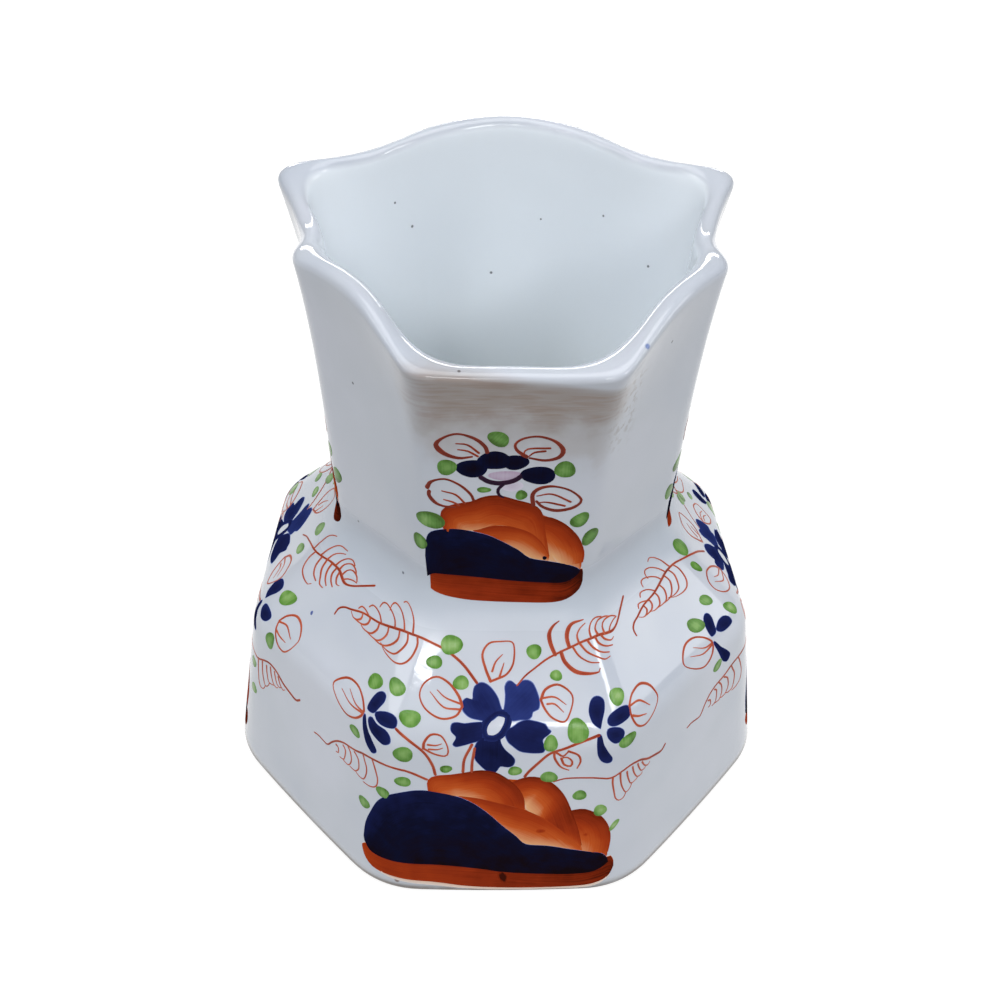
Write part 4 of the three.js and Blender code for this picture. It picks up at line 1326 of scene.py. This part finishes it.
def pigment(name, shades, roughness, streaks, clouds, specular):
    """A ceramic colour that goes from thin to heavily loaded through the given shades.

    Streaks are the marks of the brush's hairs along its stroke, and clouds the wet pooling.
    """
    material, tree, surface = new_material(name, Roughness=roughness, Specular_IOR_Level=specular)
    load, along, across = (
        node(tree, "ShaderNodeAttribute", {"attribute_name": value}).outputs["Fac"]
        for value in ("load", "along", "across")
    )
    place = node(tree, "ShaderNodeTexCoord").outputs["Object"]

    # Hair marks: 0.4 mm apart across the stroke and 15 mm long, coarser than real hairs
    stroke = node(tree, "ShaderNodeCombineXYZ", links={0: along, 1: across}).outputs[0]
    stroke = node(
        tree, "ShaderNodeVectorMath", {"operation": "MULTIPLY", 1: (1 / 15, 1 / 0.4, 1.0)}, {0: stroke}
    ).outputs[0]
    hairs = node(tree, "ShaderNodeTexNoise", {"Scale": 1.0, "Detail": 4.0}, {"Vector": stroke}).outputs[0]
    for noise, amount in ((hairs, streaks), (waves(tree, place, 3.5, 3), clouds)):
        limits = {"From Min": 0.25, "From Max": 0.75, "To Min": 1 - amount, "To Max": 1 + amount}
        uneven = node(tree, "ShaderNodeMapRange", limits, {"Value": noise}).outputs[0]
        load = node(tree, "ShaderNodeMath", {"operation": "MULTIPLY"}, {0: load, 1: uneven}).outputs[0]
    shade = node(tree, "ShaderNodeValToRGB", {"stops": shades}, {0: load})
    tree.links.new(shade.outputs[0], surface.inputs["Base Color"])
    bump = node(tree, "ShaderNodeBump", {"Strength": 0.2, "Distance": 0.00015}, {"Height": hairs})
    tree.links.new(bump.outputs[0], surface.inputs["Normal"])
    return material


# Pieces


# The foot ring's inside slopes in and is rounded over, and the underside rises a little to its middle
RING_SLOPE, RING_ROUNDING = 1.5, 1.5
UNDERSIDE_RISE, UNDERSIDE_RISE_WIDTH = 0.4, 20

# The skin starts and ends with a small ring round a middle point
MIDDLE_RING = 3.0


def glazed_pot(material):
    """The whole pot in one skin: recessed underside, outer wall, rounded rim, inside and floor."""
    rows, inside = [], []

    def add(row, is_inside):
        rows.append(row)
        inside.append(np.full(len(row), is_inside))

    ring_inner = FOOT_WIDTH / 2 - FOOT_RING_WIDTH
    underside_height = FOOT_HEIGHT + UNDERSIDE_RISE
    underside = rounded(
        [[ring_inner + RING_SLOPE, GLAZE_EDGE_HEIGHT], [ring_inner, FOOT_HEIGHT],
         [ring_inner - UNDERSIDE_RISE_WIDTH, underside_height]],
        [RING_ROUNDING], 4,
    )
    below = filled([np.array([MIDDLE_RING, underside_height]), *underside[::-1]], 8.0)
    for half_width, height in below + filled(outer_profile(GLAZE_EDGE_HEIGHT), 2.2):
        add(body_row(half_width, height, RING), 0.0)

    nominal = RIGHT_CHEEK[1] - THROAT_HEIGHT
    lip_start = nominal - LIP_RADIUS
    neck_rows, lip_steps = 34, 10
    climbs = [lip_start * row / neck_rows / nominal for row in range(neck_rows + 1)]
    for climb in climbs[1:]:
        add(neck_row(climb, 0, RING), 0.0)
    for step in range(1, lip_steps):
        angle = math.pi * step / lip_steps
        depth = (1 - math.cos(angle)) / 2
        add(neck_row((lip_start + LIP_RADIUS * math.sin(angle)) / nominal, depth, RING), step / lip_steps)
    for climb in reversed(climbs):
        add(neck_row(climb, 1, RING), 1.0)

    inner_foot_width = wall_half_width(FLOOR_TOP) - BODY_THICKNESS / outward_normal(WALL[0], WALL[1])[0]
    inner = rounded(
        [[NECK_WIDTH / 2 - NECK_THICKNESS, THROAT_HEIGHT], inset_corner(2, NECK_THICKNESS),
         inset_corner(1, BODY_THICKNESS), [inner_foot_width, FLOOR_TOP], [MIDDLE_RING, FLOOR_TOP]],
        [THROAT_ROUNDING, SHOULDER_ROUNDING, FLOOR_FILLET], 8,
    )
    for half_width, height in filled(inner, 3.0)[1:]:
        add(body_row(half_width, height, RING), 1.0)
    points = np.concatenate([[[0, 0, underside_height]], *rows, [[0, 0, FLOOR_TOP]]])
    faces = turned_faces(len(rows), len(RING), True)
    piece = new_piece("glazed_pot", points, faces, material)
    add_value(piece, "inside", np.concatenate([[0.0], *inside, [1.0]]))
    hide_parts("body_wall", "neck_wall", "base_floor")


def bare_foot(material):
    """The standing edge below the glaze: a narrow ring of bare clay with worn corners."""
    top, rounding, recess = GLAZE_EDGE_HEIGHT + 0.4, 0.8, 0.15
    outer = wall_half_width(GLAZE_EDGE_HEIGHT) - recess
    inner = FOOT_WIDTH / 2 - FOOT_RING_WIDTH + RING_SLOPE + recess
    section = rounded([[inner, top], [inner, 0], [outer, 0], [outer, top]], [rounding, rounding], 5)
    rows = [body_row(half_width, height, RING) for half_width, height in filled(section, 2.5)]
    faces = turned_faces(len(rows), len(RING), False)
    last = (len(rows) - 1) * len(RING)
    for i in range(len(RING)):
        j = (i + 1) % len(RING)
        faces.append((last + i, last + j, j, i))
    piece = new_piece("bare_foot", np.concatenate(rows), faces, material)
    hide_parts("foot_ring")


def bezier(a, b, c, d):
    """A cubic curve between a and d, pulled towards b and c, in 60 steps."""
    t = np.linspace(0, 1, 60 + 1)[:, None]
    a, b, c, d = (np.array(point, float) for point in (a, b, c, d))
    return (1 - t) ** 3 * a + 3 * t * (1 - t) ** 2 * b + 3 * t**2 * (1 - t) * c + t**3 * d


def handle(material):
    """The loop at the back, with both ends run into the walls and smoothed over with slip."""
    sunk, rings, around = 1.5, 130, 40
    back_climb = (HANDLE_TOP_HEIGHT - THROAT_HEIGHT) / (BACK[0] - THROAT_HEIGHT)
    neck_face = neck_row(back_climb, 0, np.array([BACK_TURN]))[0, 1]
    square_on = outward_normal(WALL[1], WALL[2])
    landing = WALL[1] + (WALL[2] - WALL[1]) * HANDLE_LANDING
    outermost = (HANDLE_OUTER_REACH, HANDLE_OUTER_HEIGHT)
    upper = bezier(
        (neck_face, HANDLE_TOP_HEIGHT), (neck_face + HANDLE_SPRING, HANDLE_TOP_HEIGHT),
        (HANDLE_OUTER_REACH, HANDLE_OUTER_HEIGHT + HANDLE_BEND), outermost,
    )
    lower = bezier(
        outermost, (HANDLE_OUTER_REACH, HANDLE_OUTER_HEIGHT - HANDLE_BEND),
        landing + square_on * HANDLE_LANDING_BEND, landing,
    )
    route = np.vstack([[upper[0] - (sunk, 0)], upper, lower[1:], [landing - square_on * sunk]])
    along = np.linspace(0, lengths_along(route)[-1], rings)
    route = resampled(route, rings)

    # Each end swells by 28 percent within about 7 mm of the wall, and by 35 percent more in the
    # last 1.6 mm, where the slip was smoothed
    from_wall = np.maximum(np.minimum(along, along[-1] - along) - sunk, 0)
    spread = 1 + 0.28 * np.exp(-((from_wall / 7) ** 2)) + 0.35 * np.exp(-((from_wall / 1.6) ** 2))
    angles = np.arange(around) * math.tau / around
    sideways, outward = (
        np.sign(wave) * np.abs(wave) ** HANDLE_SQUARENESS * half
        for wave, half in ((np.cos(angles), HANDLE_HALF_WIDTH), (np.sin(angles), HANDLE_HALF_DEPTH))
    )
    rows = []
    for place, (out, up), wide in zip(route, headings(route), spread):
        section = place + outward[:, None] * wide * np.array([-up, out])
        rows.append(np.column_stack([sideways * wide, section]))
    points = np.concatenate([[[0, *route[0]]], *rows, [[0, *route[-1]]]])
    faces = turned_faces(len(rows), around, True)
    piece = new_piece("handle_loop", points, faces, material)
    add_value(piece, "inside", np.zeros(len(points)))
    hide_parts("handle")


# Studio


# Half the floor's width, in metres
FLOOR_HALF_WIDTH = 4.0


def stage():
    """A pale floor that fills the view. It looks white, and keeps the jug's shadow."""
    mesh = bpy.data.meshes.new("floor")
    half = FLOOR_HALF_WIDTH
    corners = [(-half, -half, 0), (half, -half, 0), (half, half, 0), (-half, half, 0)]
    mesh.from_pydata(corners, [], [(0, 1, 2, 3)])
    floor = bpy.data.objects.new("floor", mesh)
    bpy.context.scene.collection.objects.link(floor)
    material, tree, surface = new_material(
        "pale_paper", Base_Color=linear("#949494"), Roughness=0.9, Specular_IOR_Level=0.0
    )

    # It is lifted to white only as it is seen, by the camera and in the glaze
    rays = node(tree, "ShaderNodeLightPath").outputs
    seen = rays["Is Camera Ray"]
    for ray in ("Is Glossy Ray", "Is Transmission Ray"):
        seen = node(
            tree, "ShaderNodeMath", {"operation": "ADD", "use_clamp": True}, {0: seen, 1: rays[ray]}
        ).outputs[0]
    lift = node(tree, "ShaderNodeMath", {"operation": "MULTIPLY", 1: 0.75}, {0: seen}).outputs[0]
    surface.inputs["Emission Color"].default_value = linear("#ffffff")
    tree.links.new(lift, surface.inputs["Emission Strength"])
    mesh.materials.append(material)


def towards(azimuth, elevation):
    """A direction from the jug. Azimuth goes from the front towards its right, in radians."""
    level = math.cos(elevation)
    return Vector((math.sin(azimuth) * level, -math.cos(azimuth) * level, math.sin(elevation)))


# Camera: where it stands from the point it looks at, and how it is tilted, in millimetres and radians
VIEW_AZIMUTH, VIEW_ELEVATION, VIEW_ROLL = -0.0375, 0.7033, 0.0320
VIEW_DISTANCE = 213.42
VIEW_HEIGHT = 54.24


def camera():
    data = bpy.data.cameras.new("view")
    data.lens = 31.52
    data.sensor_width = 36
    data.shift_x, data.shift_y = -0.00162, 0.01627
    data.clip_start = 0.01
    view = bpy.data.objects.new("view", data)
    back = towards(VIEW_AZIMUTH, VIEW_ELEVATION)
    place = (Vector((0, 0, VIEW_HEIGHT)) + back * VIEW_DISTANCE) * MM
    right = Vector((0, 0, 1)).cross(back).normalized()
    up = back.cross(right)
    turn = Matrix((right, up, back)).transposed() @ Matrix.Rotation(VIEW_ROLL, 3, "Z")
    view.matrix_world = Matrix.Translation(place) @ turn.to_4x4()
    bpy.context.scene.collection.objects.link(view)
    bpy.context.scene.camera = view


# Lamps: azimuth and elevation in degrees, distance, width and height in metres, brightness, tilt.
# The windows and the fill are soft, and the strips make the narrow lights on the glaze.
SOFTBOXES = {
    "overhead_softbox": (4, 82, 3.0, 2.4, 2.4, 3.25, 0),
    "right_window": (86, 22, 1.3, 0.5, 0.42, 2.8, 0),
    "right_strip": (52, 34.7, 1.24, 0.13, 0.26, 13.0, -32),
    "front_strip": (9.8, 24.5, 1.24, 0.33, 0.18, 12.5, -28),
    "left_strip": (-21, 43.2, 0.93, 0.36, 0.024, 26.0, 0),
    "left_fill": (-58, 42, 1.3, 0.6, 0.5, 3.7, 0),
    "back_strip": (180, 20, 1.3, 1.2, 0.14, 9.0, 0),
}
AIM_HEIGHT = 60.0


def softbox(name, azimuth, elevation, distance, width, height, brightness, tilt):
    """A rectangular lamp aimed at the jug."""
    data = bpy.data.lights.new(name, "AREA")
    data.shape = "RECTANGLE"
    data.size, data.size_y = width, height
    data.energy = math.pi * width * height * brightness
    lamp = bpy.data.objects.new(name, data)
    direction = towards(math.radians(azimuth), math.radians(elevation))
    lamp.location = Vector((0, 0, AIM_HEIGHT * MM)) + direction * distance
    facing = (-direction).to_track_quat("-Z", "Y") @ Quaternion((0, 0, 1), math.radians(tilt))
    lamp.rotation_euler = facing.to_euler()
    bpy.context.scene.collection.objects.link(lamp)


def light():
    """A dim even room, one big soft lamp nearly overhead, and smaller ones for the glints."""
    world = bpy.data.worlds.new("studio")
    world.use_nodes = True
    bpy.context.scene.world = world
    background = world.node_tree.nodes["Background"].inputs
    background["Color"].default_value = linear("#ffffff")
    background["Strength"].default_value = 0.28
    for name, settings in SOFTBOXES.items():
        softbox(name, *settings)
    bpy.context.scene.view_settings.view_transform = "Standard"


camera()
stage()
light()
glaze = lead_glaze()
glazed_pot(glaze)
handle(glaze)
bare_foot(bare_earthenware())
painting()
